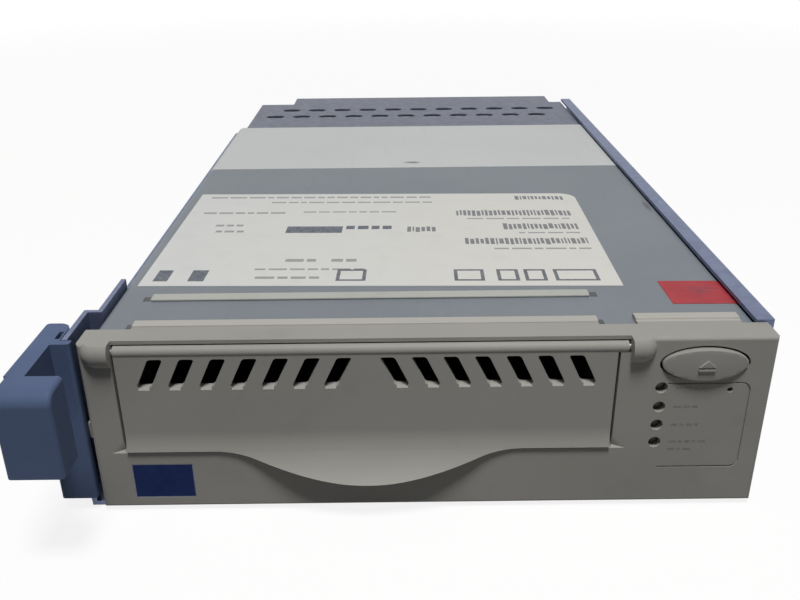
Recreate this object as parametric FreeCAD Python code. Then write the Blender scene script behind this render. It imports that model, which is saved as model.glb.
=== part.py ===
import FreeCAD, Part
import math
import os

# Half-height data tape drive in a hot-plug carrier, in millimetres.
# Frame: +Z up, -Y towards the user, X = 0 on the bezel's centreline, Y = 0 half way between the
# bezel's face and the rear end, Z = 0 on the underside of the carrier's tray.

V = FreeCAD.Vector
OUT = "parts"

# ---- Driving dimensions: overall ----
BEZEL_W = 148.0
BEZEL_H = 42.0
DRIVE_W = 146.0
DRIVE_DEPTH = 197.0
OVERALL_DEPTH = 258.0
SHEET_T = 1.2
FACE_Y = -OVERALL_DEPTH / 2
BEZEL_Z = SHEET_T

# ---- Driving dimensions: bezel ----
BEZEL_DEPTH = 7.0
BEZEL_WALL = 3.5
BEZEL_SKIRT = 1.6
BEZEL_EDGE_R = 0.8
BODY_SEAM = 0.2
BROW_SETBACK = 1.5
TAB_T = 0.65
TAB_LIP_H = 0.35
TAB_LIP_D = 2.8
TAB_MAIN = (-64.3, 37.4, 10.8)
TAB_SIDE = (45.8, 68.6, 11.8)
BOSS_R = 3.4
BOSS_RUN_LEFT = 3.1
BOSS_RUN_RIGHT = 2.2
BADGE = (-66.4, -52.6, 2.6, 11.7)
BADGE_T = 0.4
BADGE_SINK = 0.05
PANEL_GROOVE = (49.6, 69.6, 9.3, 31.2)
PANEL_GROOVE_W = 0.4
PANEL_GROOVE_D = 0.3
PANEL_GROOVE_R = 2.0
CORNER_FACET = 3.0
CORNER_FACET_D = 1.0
CATCH = (2.5, 5.0, 17.3, 21.2)
CATCH_OUT = 1.6
CATCH_R = 0.5

# ---- Driving dimensions: cartridge and door ----
CART_W = 105.4
CART_L = 102.0
CART_H = 21.5
SLOT_X = -13.2
SLOT_W = 106.4
SLOT_Z = 15.2
SLOT_H = 22.4
DOOR_W = 107.0
DOOR_T = 1.8
DOOR_FACE = 0.3
DOOR_AXIS_Y = 1.4
DOOR_AXIS_Z = 39.5
DOOR_EDGE_Z = 15.2
DOOR_GAP = 0.5
DOOR_BEAD_R = 1.3
DOOR_BEAD_GAP = 0.3
DOOR_BEAD_OVER = 2.2
DOOR_PIN_R = 0.75
DOOR_PIN_PLAY = 0.05
DOOR_PIN_L = 7.0
DOOR_BORE_L = 4.0
FLARE_R = 13.75
FLARE_Z = 20.0
FLARE_ANGLE = 62.0
LIP_HALF_W = 34.0
LIP_DROP = 6.2
LIP_END_R = 26.0
VENT_COUNT = 7
VENT_W = 3.2
VENT_H = 6.8
VENT_PITCH = 6.7
VENT_SLANT = 3.2
VENT_INNER = 2.9
VENT_Z = 31.2
VENT_CORNER = 0.4
VENT_SILL_H = 0.65
VENT_SILL_D = 1.1

# ---- Driving dimensions: controls ----
BUTTON_X = 58.95
BUTTON_Z = 35.9
BUTTON_HALF_W = 9.15
BUTTON_HALF_H = 3.7
BUTTON_GAP = 0.5
BUTTON_PROUD = 0.4
BUTTON_CROWN = 1.0
BUTTON_FLANGE = 1.2
BUTTON_FLANGE_T = 1.0
BUTTON_STEM_R = 2.2
BUTTON_TRAVEL = 1.2
LAMP_X = 50.3
LAMP_Z = (30.0, 25.2, 20.6, 16.1)
LAMP_HOLE_R = 1.35
LAMP_PIPE_GAP = 0.1
LAMP_SINK = 1.6
LAMP_BAR_HALF_W = 1.8
LAMP_BAR_T = 1.6
LAMP_BAR_OVER = 2.2
LED = (3.2, 1.8, 1.3)
RESET_X = 65.2
RESET_Z = 29.3
RESET_HOLE_R = 0.65
RESET_PIN_R = 0.55
RESET_COLLAR_R = 1.35
RESET_COLLAR_T = 0.8
RESET_SINK = 1.0
RESET_TRAVEL = 0.8
BOARD_T = 1.6
FRONT_BOARD_Y = 13.0
FRONT_BOARD = (45.5, 70.4, 5.0, 39.0)
BOARD_HOLE_IN = 3.0
BOARD_HOLE_PLAY = 0.2
BOARD_SCREW_R = 1.1
BOARD_SCREW_L = 6.0
BOARD_SCREW_HEAD_T = 1.2
BOARD_POST_R = 2.4
SWITCH_W = 6.0
SWITCH_H = 3.6
SWITCH_CHAMFER = 0.5
SWITCH_PIN_R = 1.6
SWITCH_PLAY = 0.1

# ---- Driving dimensions: drive body ----
CHASSIS_T = 1.2
COVER_T = 0.8
COVER_TOP = 41.3
COVER_SPLIT = 134.2
COVER_SEAM = 0.2
COVER_SKIRT = 8.0
COVER_BEND_R = 2.6
COVER_SEAT = 0.15
COVER_RIB = (-64.0, 38.5, 22.7, 25.6)
COVER_RIB_H = 0.6
DIMPLE_R = 1.0
DATA_SOCKET = (-51.5, 29.5, 9.0)
POWER_SOCKET = (42.5, 61.5, 11.0)
SOCKET_WINDOW_GAP = 0.5
SOCKET_H = 5.4
SOCKET_WALL = 0.9
MAIN_BOARD_Z = 5.2
MAIN_BOARD_FRONT = 18.0
MAIN_BOARD_REAR = 6.0
BOARD_SIDE_GAP = 1.0
STANDOFF_X = 66.0
STANDOFF_Y = (26.0, 104.0, 176.0)
STANDOFF_R = 2.4
DECK_T = 1.5
DECK_FRONT = 1.0
DECK_REAR = 4.0
CLEAR = 0.3
SCREW_R = 1.3
SCREW_HOLE_GAP = 0.3
SCREW_HEAD_R = 2.9
SCREW_HEAD_T = 1.1
SCREW_L = 5.0
SIDE_HOLES_Y = (57.4, 136.65)
SIDE_HOLE_Z = 10.0

# ---- Driving dimensions: tape mechanism ----
HUB_Y = 66.0
HUB_R = 17.0
HUB_SEAT_R = 15.0
HUB_TEETH = 16
HUB_TOOTH = (4.0, 1.4, 0.8)
HUB_MOTOR_R = 22.0
HUB_MOTOR_FLOOR = 1.2
HUB_BORE_R = 3.0
HUB_WINDOW_GAP = 2.5
TRAY_FRONT = 9.0
TRAY_T = 0.8
TRAY_LIP = 5.0
TRAY_SIDE_GAP = 0.3
TRAY_TOP_GAP = 0.5
TRAY_STOP_H = 9.0
TRAY_TRAVEL = 8.0
TRAY_DECK_GAP = 0.3
DECK_Z = SLOT_Z - TRAY_T - TRAY_DECK_GAP - DECK_T
RACK_Y = (42.0, 74.0)
RACK_BACK = 2.0
RACK_H = 4.0
RACK_Z = 1.2
GEAR_MODULE = 0.8
GEAR_TEETH = 16
GEAR_BACKLASH = 0.2
GEAR_ROOT_GAP = 0.2
GEAR_SPREAD = 0.1
PINION_Y = 58.0
LOAD_SHAFT_R = 1.2
LOAD_CAN_R = 6.5
LOAD_CAN_H = 13.0
LOAD_BRIDGE = (10.5, 5.0, 1.2)
REEL_X = -18.0
REEL_Y = 157.0
REEL_R = 35.0
REEL_HUB_R = 17.0
REEL_H = 16.0
REEL_FLANGE_T = 1.4
REEL_LIFT = 3.0
REEL_MOTOR_R = 15.0
SHAFT_R = 3.0
SHAFT_PLAY = 0.05
ROLLERS = ((30.0, 129.5), (50.0, 117.0), (63.0, 123.0), (34.0, 150.0))
ROLLER_R = 5.0
ROLLER_FLANGE_R = 6.5
ROLLER_FLANGE_T = 1.0
ROLLER_H = 15.0
ROLLER_PIN_R = 1.5
ROLLER_FOOT_R = 4.0
HEAD_X = 57.0
HEAD_Y = 141.0
HEAD_TRAVEL = 1.5
HEAD_H = 11.0
HEAD_DEPTH = 10.0
HEAD_HALF_D = 7.0
HEAD_CARRIAGE_T = 6.0
HEAD_ARM_L = 5.0
HEAD_ARM_IN = 3.0
HEAD_FACE_T = 4.0
HEAD_FACE_HALF_D = 5.0
HEAD_ROOF_LIFT = 4.0
HEAD_SHEET = 1.5
HEAD_GUIDE_R = 1.0
HEAD_GUIDE_Y = 4.5
HEAD_CROWN_R = 9.0

# ---- Driving dimensions: carrier ----
TRAY_REAR = 244.0
TRAY_HOLE_R = 12.0
TRAY_HOLES_X = 44.0
TRAY_HOLES_Y = (74.0, 186.0)
LEFT_WALL_GAP = 0.3
LEFT_WALL_X = -(DRIVE_W / 2 + LEFT_WALL_GAP + SHEET_T)
LEFT_WALL_Z = 38.7
LEFT_WALL_REAR = 199.0
LEFT_WALL_SLOPE = (13.0, 22.0)
EAR_GAP = 0.9
EAR_X = -(BEZEL_W / 2 + CATCH_OUT + EAR_GAP + SHEET_T)
EAR_Z = 42.0
EAR_FRONT = 2.3
EAR_STEP = 15.9
EAR_REAR = 34.8
RAIL_GAP = 1.4
RAIL_X = DRIVE_W / 2 + RAIL_GAP + SHEET_T
RAIL_LIP_OVER = 1.4
RAIL_LIP_X = DRIVE_W / 2 - RAIL_LIP_OVER
RAIL_LIP_T = 1.0
RAIL_TOP = 42.6
PRESSED_BOSS_R = 6.0
PRESSED_BOSS_SLOPE = 1.5
HOOD_LEFT_IN = 3.7
HOOD_LEFT = HOOD_LEFT_IN - DRIVE_W / 2
HOOD_RIGHT = RAIL_LIP_X - CLEAR
HOOD_TOP = 41.2
HOOD_T = 1.0
SHROUD_LEFT = -54.5
SHROUD_RIGHT = 66.0
HOOD_VENT_ROWS = 2
HOOD_VENT_COLUMNS = 11
HOOD_VENT_R = 2.3
HOOD_VENT_L = 7.8
HOOD_VENT_PITCH_X = 11.6
HOOD_VENT_PITCH_Y = 13.0
HOOD_VENT_FRONT = 21.0
ADAPTER_Y = 234.0
ADAPTER = (-48.0, 60.0, 5.0, 36.0)
BRACKET_FOOT = 12.0
BRACKET_RIM = 8.0
BRACKET_CORNER_R = 3.0
BRACKET_TOP_GAP = 2.0
PLUG = (-24.0, 42.0, 9.0, 19.0)
PLUG_DEPTH = 18.0
PLUG_WALL = 1.2
PLUG_CORNER_R = 2.0
PLUG_FLOOR = 5.0
PLUG_TONGUE = (4.0, 2.0, 1.5)
GUIDE_X = (-40.0, 54.0)
GUIDE_Z = 20.0
GUIDE_R = 3.0
GUIDE_L = 16.0
GUIDE_FOOT_R = 5.0
GUIDE_FOOT_T = 3.0
GUIDE_NOSE_L = 4.0

# ---- Driving dimensions: release handle ----
HANDLE_GAP = 0.2
HANDLE_T = 5.6
HANDLE_INNER = EAR_X - HANDLE_GAP
HANDLE_OUTER = HANDLE_INNER - HANDLE_T
HANDLE_FRONT = 2.0
HANDLE_BACK = 10.3
HANDLE_BACK_R = 0.8
HANDLE_LOW = 2.4
HANDLE_H = 42.0
HANDLE_ARM_T = 4.1
HANDLE_CAP = (1.3, 0.2)
HANDLE_PIN_Y = 7.5
HANDLE_PIN_R = 0.8
HANDLE_PIN_PLAY = 0.05
HANDLE_PIN_OVER = 9.0
GRIP_Z = 22.9
GRIP_FRONT = -20.5
GRIP_BACK = -13.0
GRIP_OVER = 2.0
GRIP_TOP_R = 3.0
GRIP_EDGE_R = 1.0
SLIT = (1.4, 0.4, 2.8, 6.2)
SLIT_D = 3.0
LUG_Z = 20.5
LUG_T = 4.0
LUG_R = 1.7
LUG_GAP = 0.3
HANDLE_SWING = 30.0


# ---- Shared helpers ----
def depth(distance):
    """Y of a point that lies a distance behind the bezel's face."""
    return FACE_Y + distance


def height(distance):
    """Z of a point that lies a distance above the bezel's lower edge."""
    return BEZEL_Z + distance


def box(x0, x1, y0, y1, z0, z1):
    """Block between two corners."""
    return Part.makeBox(x1 - x0, y1 - y0, z1 - z0, V(x0, y0, z0))


def rod(radius, start, end):
    """Round bar from one point to another."""
    run = V(*end) - V(*start)
    return Part.makeCylinder(radius, run.Length, V(*start), run)


def prism(points, push):
    """Solid from a flat closed outline, pushed along a vector."""
    outline = Part.makePolygon([V(*point) for point in points] + [V(*points[0])])
    return Part.Face(outline).extrude(V(*push))


def fuse(shapes):
    """One solid from shapes that touch."""
    result = shapes[0].multiFuse(shapes[1:]) if len(shapes) > 1 else shapes[0]
    return result.removeSplitter()


def cut(shape, tools):
    """Shape with every tool taken away."""
    return shape.cut(Part.makeCompound(tools)) if tools else shape


def obround(x, y, z, length, radius, push):
    """Slot with round ends, long in X, pushed along Z."""
    straight = length / 2 - radius
    low_left, low_right = V(x - straight, y - radius, z), V(x + straight, y - radius, z)
    top_left, top_right = V(x - straight, y + radius, z), V(x + straight, y + radius, z)
    edges = [
        Part.makeLine(low_left, low_right),
        Part.Arc(low_right, V(x + straight + radius, y, z), top_right).toShape(),
        Part.makeLine(top_right, top_left),
        Part.Arc(top_left, V(x - straight - radius, y, z), low_left).toShape(),
    ]
    return Part.Face(Part.Wire(edges)).extrude(V(0, 0, push))


def along(shape, axis):
    """Edges of a shape that run straight along X, Y or Z."""
    found = []
    for edge in shape.Edges:
        tangent = edge.tangentAt(edge.FirstParameter)
        if abs(getattr(tangent, axis)) > 0.99:
            found.append(edge)
    return found


def rounded_plate(x0, x1, z0, z1, radius, y0, y1):
    """Upright plate in the XZ plane with four rounded corners."""
    block = box(x0, x1, y0, y1, z0, z1)
    return block.makeFillet(radius, along(block, "y"))


def upright(radius, place, z0, z1):
    """Round bar that stands on a place in X and distance behind the bezel's face."""
    x, y = place
    return rod(radius, (x, depth(y), z0), (x, depth(y), z1))


def save(name, shape):
    """Write one sub-part as STEP."""
    solids = shape.Solids
    assert solids, name
    assert all(solid.isValid() for solid in solids), name
    result = solids[0] if len(solids) == 1 else Part.makeCompound(solids)
    result.exportStep(os.path.join(OUT, name + ".step"))


# ---- Door outline, shared by the door and by its pocket in the bezel ----
def door_outline(grow, y0, y1):
    """Front outline of the door with its drooping centre lip, grown all round, between two depths."""
    bend = 2 * math.atan(LIP_DROP / LIP_HALF_W)
    lip_r = LIP_HALF_W / math.sin(bend) - LIP_END_R
    half = DOOR_W / 2 + grow
    side_z = height(DOOR_EDGE_Z) - grow
    top_z = height(DOOR_AXIS_Z)
    lip_centre_z = height(DOOR_EDGE_Z) - LIP_DROP + lip_r
    end_centre_z = height(DOOR_EDGE_Z) - LIP_END_R

    def lip(angle):
        return V(SLOT_X + (lip_r + grow) * math.sin(angle), y0,
                 lip_centre_z - (lip_r + grow) * math.cos(angle))

    def end(side, angle):
        return V(SLOT_X + side * (LIP_HALF_W - (LIP_END_R - grow) * math.sin(angle)), y0,
                 end_centre_z + (LIP_END_R - grow) * math.cos(angle))

    corner_right = V(SLOT_X + half, y0, side_z)
    corner_left = V(SLOT_X - half, y0, side_z)
    top_right = V(SLOT_X + half, y0, top_z)
    top_left = V(SLOT_X - half, y0, top_z)
    edges = [
        Part.makeLine(top_left, corner_left),
        Part.makeLine(corner_left, end(-1, 0)),
        Part.Arc(end(-1, 0), end(-1, bend / 2), end(-1, bend)).toShape(),
        Part.Arc(lip(-bend), lip(0), lip(bend)).toShape(),
        Part.Arc(end(1, bend), end(1, bend / 2), end(1, 0)).toShape(),
        Part.makeLine(end(1, 0), corner_right),
        Part.makeLine(corner_right, top_right),
        Part.makeLine(top_right, top_left),
    ]
    return Part.Face(Part.Wire(edges)).extrude(V(0, y1 - y0, 0))


def door_axis(x):
    """Point on the door's hinge line."""
    return (x, depth(DOOR_AXIS_Y), height(DOOR_AXIS_Z))


DOOR_LEFT = SLOT_X - DOOR_W / 2
DOOR_RIGHT = SLOT_X + DOOR_W / 2
BEAD_RIGHT = DOOR_RIGHT + DOOR_BEAD_OVER
HINGE_LEFT = DOOR_LEFT - DOOR_GAP
HINGE_RIGHT = BEAD_RIGHT + DOOR_GAP


# ---- Front bezel ----
def board_holes():
    """Places of the two screws that hold the front board, as X and Z."""
    left, right, low, _ = FRONT_BOARD
    z = height(low + BOARD_HOLE_IN)
    return [(left + BOARD_HOLE_IN, z), (right - BOARD_HOLE_IN, z)]


def ellipse_plug(grow, y0, y1):
    """Upright elliptical plug at the eject button's place, grown all round."""
    curve = Part.Ellipse(V(BUTTON_X, y0, height(BUTTON_Z)), BUTTON_HALF_W + grow, BUTTON_HALF_H + grow)
    face = Part.Face(Part.Wire([curve.toShape()]))
    face.rotate(V(BUTTON_X, y0, height(BUTTON_Z)), V(1, 0, 0), 90)
    return face.extrude(V(0, y1 - y0, 0))


def bezel_tab(span):
    """Thin tab that laps over the metal cover, with a raised back lip."""
    left, right, back = span
    top = height(BEZEL_H)
    leaf = box(left, right, depth(BEZEL_DEPTH - BEZEL_SKIRT), depth(back), top - TAB_T, top)
    lip = box(left, right, depth(back - TAB_LIP_D), depth(back), top - TAB_T, top + TAB_LIP_H)
    upper = [edge for edge in along(lip, "x") if edge.CenterOfMass.z > top]
    return fuse([leaf, lip.makeFillet(TAB_LIP_H * 0.8, upper)])


def hinge_boss(x, run, side):
    """Round boss about the door pin, straight for a run and then closed by a ball end."""
    end = x + side * run
    capsule = fuse([rod(BOSS_R, door_axis(x), door_axis(end)), Part.makeSphere(BOSS_R, V(*door_axis(end)))])
    outer = x + side * (run + 2 * BOSS_R)
    limits = box(min(x, outer), max(x, outer), depth(-BOSS_R), depth(BEZEL_WALL),
                 height(0), height(BEZEL_H))
    return capsule.common(limits)


def side_catch():
    """Small moulded catch that stands out of the bezel's left side."""
    front, back, low, high = CATCH
    left = -BEZEL_W / 2 - CATCH_OUT
    block = box(left, -BEZEL_W / 2 + BEZEL_SKIRT, depth(front), depth(back), height(low), height(high))
    outer = [edge for edge in block.Edges if abs(edge.CenterOfMass.x - left) < 0.01]
    return block.makeFillet(CATCH_R, outer)


def corner_facet(x, side):
    """Small three-sided chip out of the door pocket's lower corner."""
    z = height(DOOR_EDGE_Z)
    ring = [V(x, depth(0), z - DOOR_GAP), V(x + side * CORNER_FACET, depth(0), z - DOOR_GAP),
            V(x, depth(0), z + CORNER_FACET)]
    tip = V(x, depth(CORNER_FACET_D), z)
    faces = [Part.Face(Part.makePolygon(ring + [ring[0]]))]
    for first, second in zip(ring, ring[1:] + ring[:1]):
        faces.append(Part.Face(Part.makePolygon([first, second, tip, first])))
    return Part.makeSolid(Part.makeShell(faces))


def bezel_hole(radius, x, z):
    """Round tool through the bezel's wall."""
    return rod(radius, (x, depth(-1), height(z)), (x, depth(BEZEL_WALL + 1), height(z)))


def panel_groove():
    """Fine line round the indicator panel, open on the lamps' side."""
    left, right, low, high = PANEL_GROOVE
    y0, y1 = depth(-1), depth(PANEL_GROOVE_D)
    w, r = PANEL_GROOVE_W, PANEL_GROOVE_R
    outer = rounded_plate(left, right, height(low), height(high), r, y0, y1)
    inner = rounded_plate(left + w, right - w, height(low) + w, height(high) - w, r - w, y0, y1)
    open_side = box(left - w, left + r, y0, y1, height(low) - w, height(high) + w)
    return outer.cut(inner).cut(open_side)


def bezel_shell():
    """Open-backed bezel block with its hinge bosses, board posts, tabs and catch."""
    half = BEZEL_W / 2
    low, top = height(0), height(BEZEL_H)
    block = box(-half, half, depth(0), depth(BEZEL_DEPTH), low, top)
    rim = [edge for edge in block.Edges if abs(edge.CenterOfMass.y - depth(0)) < 0.01]
    block = block.makeFillet(BEZEL_EDGE_R, rim)
    hollow = box(-half + BEZEL_SKIRT, half - BEZEL_SKIRT, depth(BEZEL_WALL), depth(BEZEL_DEPTH),
                 low + BEZEL_SKIRT, top - BEZEL_SKIRT)
    bosses = [hinge_boss(HINGE_LEFT, BOSS_RUN_LEFT, -1), hinge_boss(HINGE_RIGHT, BOSS_RUN_RIGHT, 1)]
    posts = []
    for x, z in board_holes():
        posts.append(rod(BOARD_POST_R, (x, depth(BEZEL_WALL), z), (x, depth(FRONT_BOARD_Y), z)))
    tabs = [bezel_tab(TAB_MAIN), bezel_tab(TAB_SIDE)]
    return fuse([block.cut(hollow), side_catch()] + tabs + bosses + posts)


def front_bezel():
    """Moulded bezel: slot, door pocket, hinge bosses, control holes, lapping tabs."""
    pocket = door_outline(DOOR_GAP, depth(-BOSS_R), depth(DOOR_FACE + DOOR_T + CLEAR))
    slot = box(SLOT_X - SLOT_W / 2, SLOT_X + SLOT_W / 2, depth(-1), depth(BEZEL_DEPTH),
               height(SLOT_Z), height(SLOT_Z + SLOT_H))
    bead_run = rod(DOOR_BEAD_R + DOOR_BEAD_GAP, door_axis(HINGE_LEFT), door_axis(HINGE_RIGHT))
    brow = box(HINGE_LEFT, HINGE_RIGHT, depth(-BOSS_R), depth(BROW_SETBACK),
               height(DOOR_AXIS_Z), height(BEZEL_H) + 1)
    badge = box(BADGE[0], BADGE[1], depth(-1), depth(BADGE_T), height(BADGE[2]), height(BADGE[3]))
    button = ellipse_plug(BUTTON_GAP, depth(-1), depth(BEZEL_WALL + 1))
    pins = [door_pin(side) for side in (-1, 1)]
    lamps = [bezel_hole(LAMP_HOLE_R, LAMP_X, z) for z in LAMP_Z]
    facets = [corner_facet(DOOR_LEFT - DOOR_GAP, -1), corner_facet(DOOR_RIGHT + DOOR_GAP, 1)]
    reset = bezel_hole(RESET_HOLE_R, RESET_X, RESET_Z)
    y0, y1 = depth(FRONT_BOARD_Y - BOARD_SCREW_L), depth(FRONT_BOARD_Y + 1)
    pilots = [rod(BOARD_SCREW_R, (x, y0, z), (x, y1, z)) for x, z in board_holes()]
    tools = [pocket, slot, bead_run, brow, badge, button, reset, panel_groove()]
    return cut(bezel_shell(), tools + pins + lamps + facets + pilots)


def badge_plate():
    """Plain inlay in the bezel's lower left corner."""
    left, right, low, high = BADGE
    return box(left, right, depth(BADGE_SINK), depth(BADGE_T), height(low), height(high))


# ---- Tape door ----
def door_sheet():
    """Door's side profile: straight above, curling forward below, pushed over the door's width."""
    angle = math.radians(FLARE_ANGLE)
    face_y = depth(DOOR_FACE)
    centre_y = face_y - FLARE_R
    centre_z = height(FLARE_Z)
    top_z = height(DOOR_AXIS_Z)
    outer_r = FLARE_R + DOOR_T

    def flare(radius, turn):
        return V(DOOR_LEFT, centre_y + radius * math.cos(turn), centre_z - radius * math.sin(turn))

    edges = [
        Part.makeLine(V(DOOR_LEFT, face_y, top_z), flare(FLARE_R, 0)),
        Part.Arc(flare(FLARE_R, 0), flare(FLARE_R, angle / 2), flare(FLARE_R, angle)).toShape(),
        Part.makeLine(flare(FLARE_R, angle), flare(outer_r, angle)),
        Part.Arc(flare(outer_r, angle), flare(outer_r, angle / 2), flare(outer_r, 0)).toShape(),
        Part.makeLine(flare(outer_r, 0), V(DOOR_LEFT, face_y + DOOR_T, top_z)),
        Part.makeLine(V(DOOR_LEFT, face_y + DOOR_T, top_z), V(DOOR_LEFT, face_y, top_z)),
    ]
    return Part.Face(Part.Wire(edges)).extrude(V(DOOR_W, 0, 0))


def door_vent(side, index):
    """One slanted vent with eased corners and a sill that slopes down to the face."""
    inner = VENT_INNER + VENT_PITCH * index
    low, high = height(VENT_Z), height(VENT_Z + VENT_H)
    foot = inner + VENT_SLANT
    outline = [(inner, high), (inner + VENT_W, high), (foot + VENT_W, low), (foot, low)]
    slot = prism([(SLOT_X + side * x, depth(-1), z) for x, z in outline], (0, DOOR_T + 3, 0))
    slot = slot.makeChamfer(VENT_CORNER, along(slot, "y"))
    face_y = depth(DOOR_FACE)
    x = SLOT_X + side * (foot + (VENT_W - VENT_CORNER if side < 0 else VENT_CORNER))
    sill = prism([(x, face_y, low - VENT_SILL_H), (x, face_y + VENT_SILL_D, low), (x, face_y, low)],
                 (VENT_W - 2 * VENT_CORNER, 0, 0))
    return [slot, sill]


def tape_door():
    """Flap with a bead along its hinge line, slanted vents and a lip that flares forward."""
    panel = door_sheet().common(door_outline(0, depth(-FLARE_R), depth(BEZEL_WALL)))
    bead = rod(DOOR_BEAD_R, door_axis(DOOR_LEFT), door_axis(BEAD_RIGHT))
    bore_r = DOOR_PIN_R + DOOR_PIN_PLAY
    bores = [rod(bore_r, door_axis(DOOR_LEFT - 1), door_axis(DOOR_LEFT + DOOR_BORE_L)),
             rod(bore_r, door_axis(BEAD_RIGHT - DOOR_BORE_L), door_axis(BEAD_RIGHT + 1))]
    vents = []
    for side in (-1, 1):
        for index in range(VENT_COUNT):
            vents += door_vent(side, index)
    return cut(fuse([panel, bead]), bores + vents)


def door_pin(side):
    """Steel stub pin pressed into a hinge boss and running in the door's bead."""
    if side < 0:
        start, end = HINGE_LEFT - DOOR_PIN_L + DOOR_BORE_L, DOOR_LEFT + DOOR_BORE_L - DOOR_GAP
    else:
        start, end = BEAD_RIGHT - DOOR_BORE_L + DOOR_GAP, HINGE_RIGHT + DOOR_PIN_L - DOOR_BORE_L
    return rod(DOOR_PIN_R, door_axis(start), door_axis(end))


# ---- Front controls ----
def eject_button():
    """Crowned oval key with a retaining flange and a stem to its switch."""
    tip_y = depth(-BUTTON_PROUD - BUTTON_CROWN)
    flange_y = depth(BEZEL_WALL + CLEAR)
    z = height(BUTTON_Z)
    reach = BUTTON_HALF_W ** 2 / (2 * BUTTON_CROWN)
    crown = Part.makeSphere(reach, V(BUTTON_X, tip_y + reach, z))
    body = ellipse_plug(0, tip_y, flange_y).common(crown)
    flange = ellipse_plug(BUTTON_FLANGE, flange_y, flange_y + BUTTON_FLANGE_T)
    wide = BUTTON_HALF_W + 2 * BUTTON_FLANGE
    limit = box(BUTTON_X - wide, BUTTON_X + wide, flange_y, flange_y + BUTTON_FLANGE_T,
                z - BUTTON_HALF_H - BUTTON_FLANGE, height(BEZEL_H - BEZEL_SKIRT - CLEAR))
    stem_end = depth(FRONT_BOARD_Y - SWITCH_H - BUTTON_TRAVEL - CLEAR)
    stem = rod(BUTTON_STEM_R, (BUTTON_X, flange_y, z), (BUTTON_X, stem_end, z))
    return fuse([body, flange.common(limit), stem])


def switch_plunger(x, z, radius, travel):
    """Round switch plunger that stands out of its case by the key's travel and a clearance."""
    return rod(radius, (x, depth(FRONT_BOARD_Y - SWITCH_H - travel - CLEAR), height(z)),
               (x, depth(FRONT_BOARD_Y - travel - CLEAR), height(z)))


def switch_case(x, z, radius):
    """Square switch case on the front board, open for its plunger."""
    half = SWITCH_W / 2
    front, back = depth(FRONT_BOARD_Y - SWITCH_H), depth(FRONT_BOARD_Y)
    case = box(x - half, x + half, front, back, height(z) - half, height(z) + half)
    case = case.makeChamfer(SWITCH_CHAMFER, along(case, "y"))
    return case.cut(rod(radius + SWITCH_PLAY, (x, front - 1, height(z)), (x, back, height(z))))


def reset_plunger():
    """Thin recessed pin, pushed with a wire through the pinhole."""
    z = height(RESET_Z)
    end = depth(FRONT_BOARD_Y - RESET_TRAVEL - CLEAR)
    collar_y = depth(BEZEL_WALL + CLEAR)
    shank = rod(RESET_PIN_R, (RESET_X, depth(RESET_SINK), z), (RESET_X, end, z))
    collar = rod(RESET_COLLAR_R, (RESET_X, collar_y, z), (RESET_X, collar_y + RESET_COLLAR_T, z))
    return fuse([shank, collar])


def light_pipes():
    """Four clear pipes on one carrier bar, a little sunk in the bezel's holes."""
    front, back = depth(LAMP_SINK), depth(FRONT_BOARD_Y) - LED[2] - CLEAR
    radius = LAMP_HOLE_R - LAMP_PIPE_GAP
    pipes = [rod(radius, (LAMP_X, front, height(z)), (LAMP_X, back, height(z))) for z in LAMP_Z]
    bar = box(LAMP_X - LAMP_BAR_HALF_W, LAMP_X + LAMP_BAR_HALF_W,
              depth(BEZEL_WALL), depth(BEZEL_WALL + LAMP_BAR_T),
              height(LAMP_Z[-1] - LAMP_BAR_OVER), height(LAMP_Z[0] + LAMP_BAR_OVER))
    return fuse(pipes + [bar])


def status_leds():
    """Surface-mounted lamps behind the light pipes."""
    back = depth(FRONT_BOARD_Y)
    width, tall, thick = LED
    chips = []
    for z in LAMP_Z:
        low = height(z) - tall / 2
        chips.append(box(LAMP_X - width / 2, LAMP_X + width / 2, back - thick, back, low, low + tall))
    return Part.makeCompound(chips)


def front_panel_board():
    """Circuit board behind the controls, with two screw holes."""
    left, right, low, high = FRONT_BOARD
    y0 = depth(FRONT_BOARD_Y)
    board = box(left, right, y0, y0 + BOARD_T, height(low), height(high))
    radius = BOARD_SCREW_R + BOARD_HOLE_PLAY
    return cut(board, [rod(radius, (x, y0 - 1, z), (x, y0 + BOARD_T + 1, z)) for x, z in board_holes()])


def board_screws():
    """Small screws through the front board into the bezel's posts."""
    back = depth(FRONT_BOARD_Y) + BOARD_T
    screws = []
    for x, z in board_holes():
        head = rod(2 * BOARD_SCREW_R, (x, back, z), (x, back + BOARD_SCREW_HEAD_T, z))
        shank = rod(BOARD_SCREW_R, (x, back - BOARD_SCREW_L, z), (x, back, z))
        screws.append(fuse([head, shank]))
    return Part.makeCompound(screws)


# ---- Drive body ----
CHASSIS_HALF = DRIVE_W / 2 - COVER_T - COVER_SEAT
BODY_FRONT = BEZEL_DEPTH + BODY_SEAM


def bent_shell(half, radius, top, low, y0, y1):
    """Block with two rounded upper edges along Y."""
    block = box(-half, half, y0, y1, low, top)
    upper = [edge for edge in along(block, "y") if edge.CenterOfMass.z > (low + top) / 2]
    return block.makeFillet(radius, upper)


def socket_window(span):
    """Opening in the chassis's rear wall for one of the drive's sockets."""
    left, right, _ = span
    gap = SOCKET_WINDOW_GAP
    rear = depth(DRIVE_DEPTH)
    low = height(MAIN_BOARD_Z + BOARD_T)
    return box(left - gap, right + gap, rear - CHASSIS_T - 1, rear + 1, low - gap, low + SOCKET_H + gap)


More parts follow.
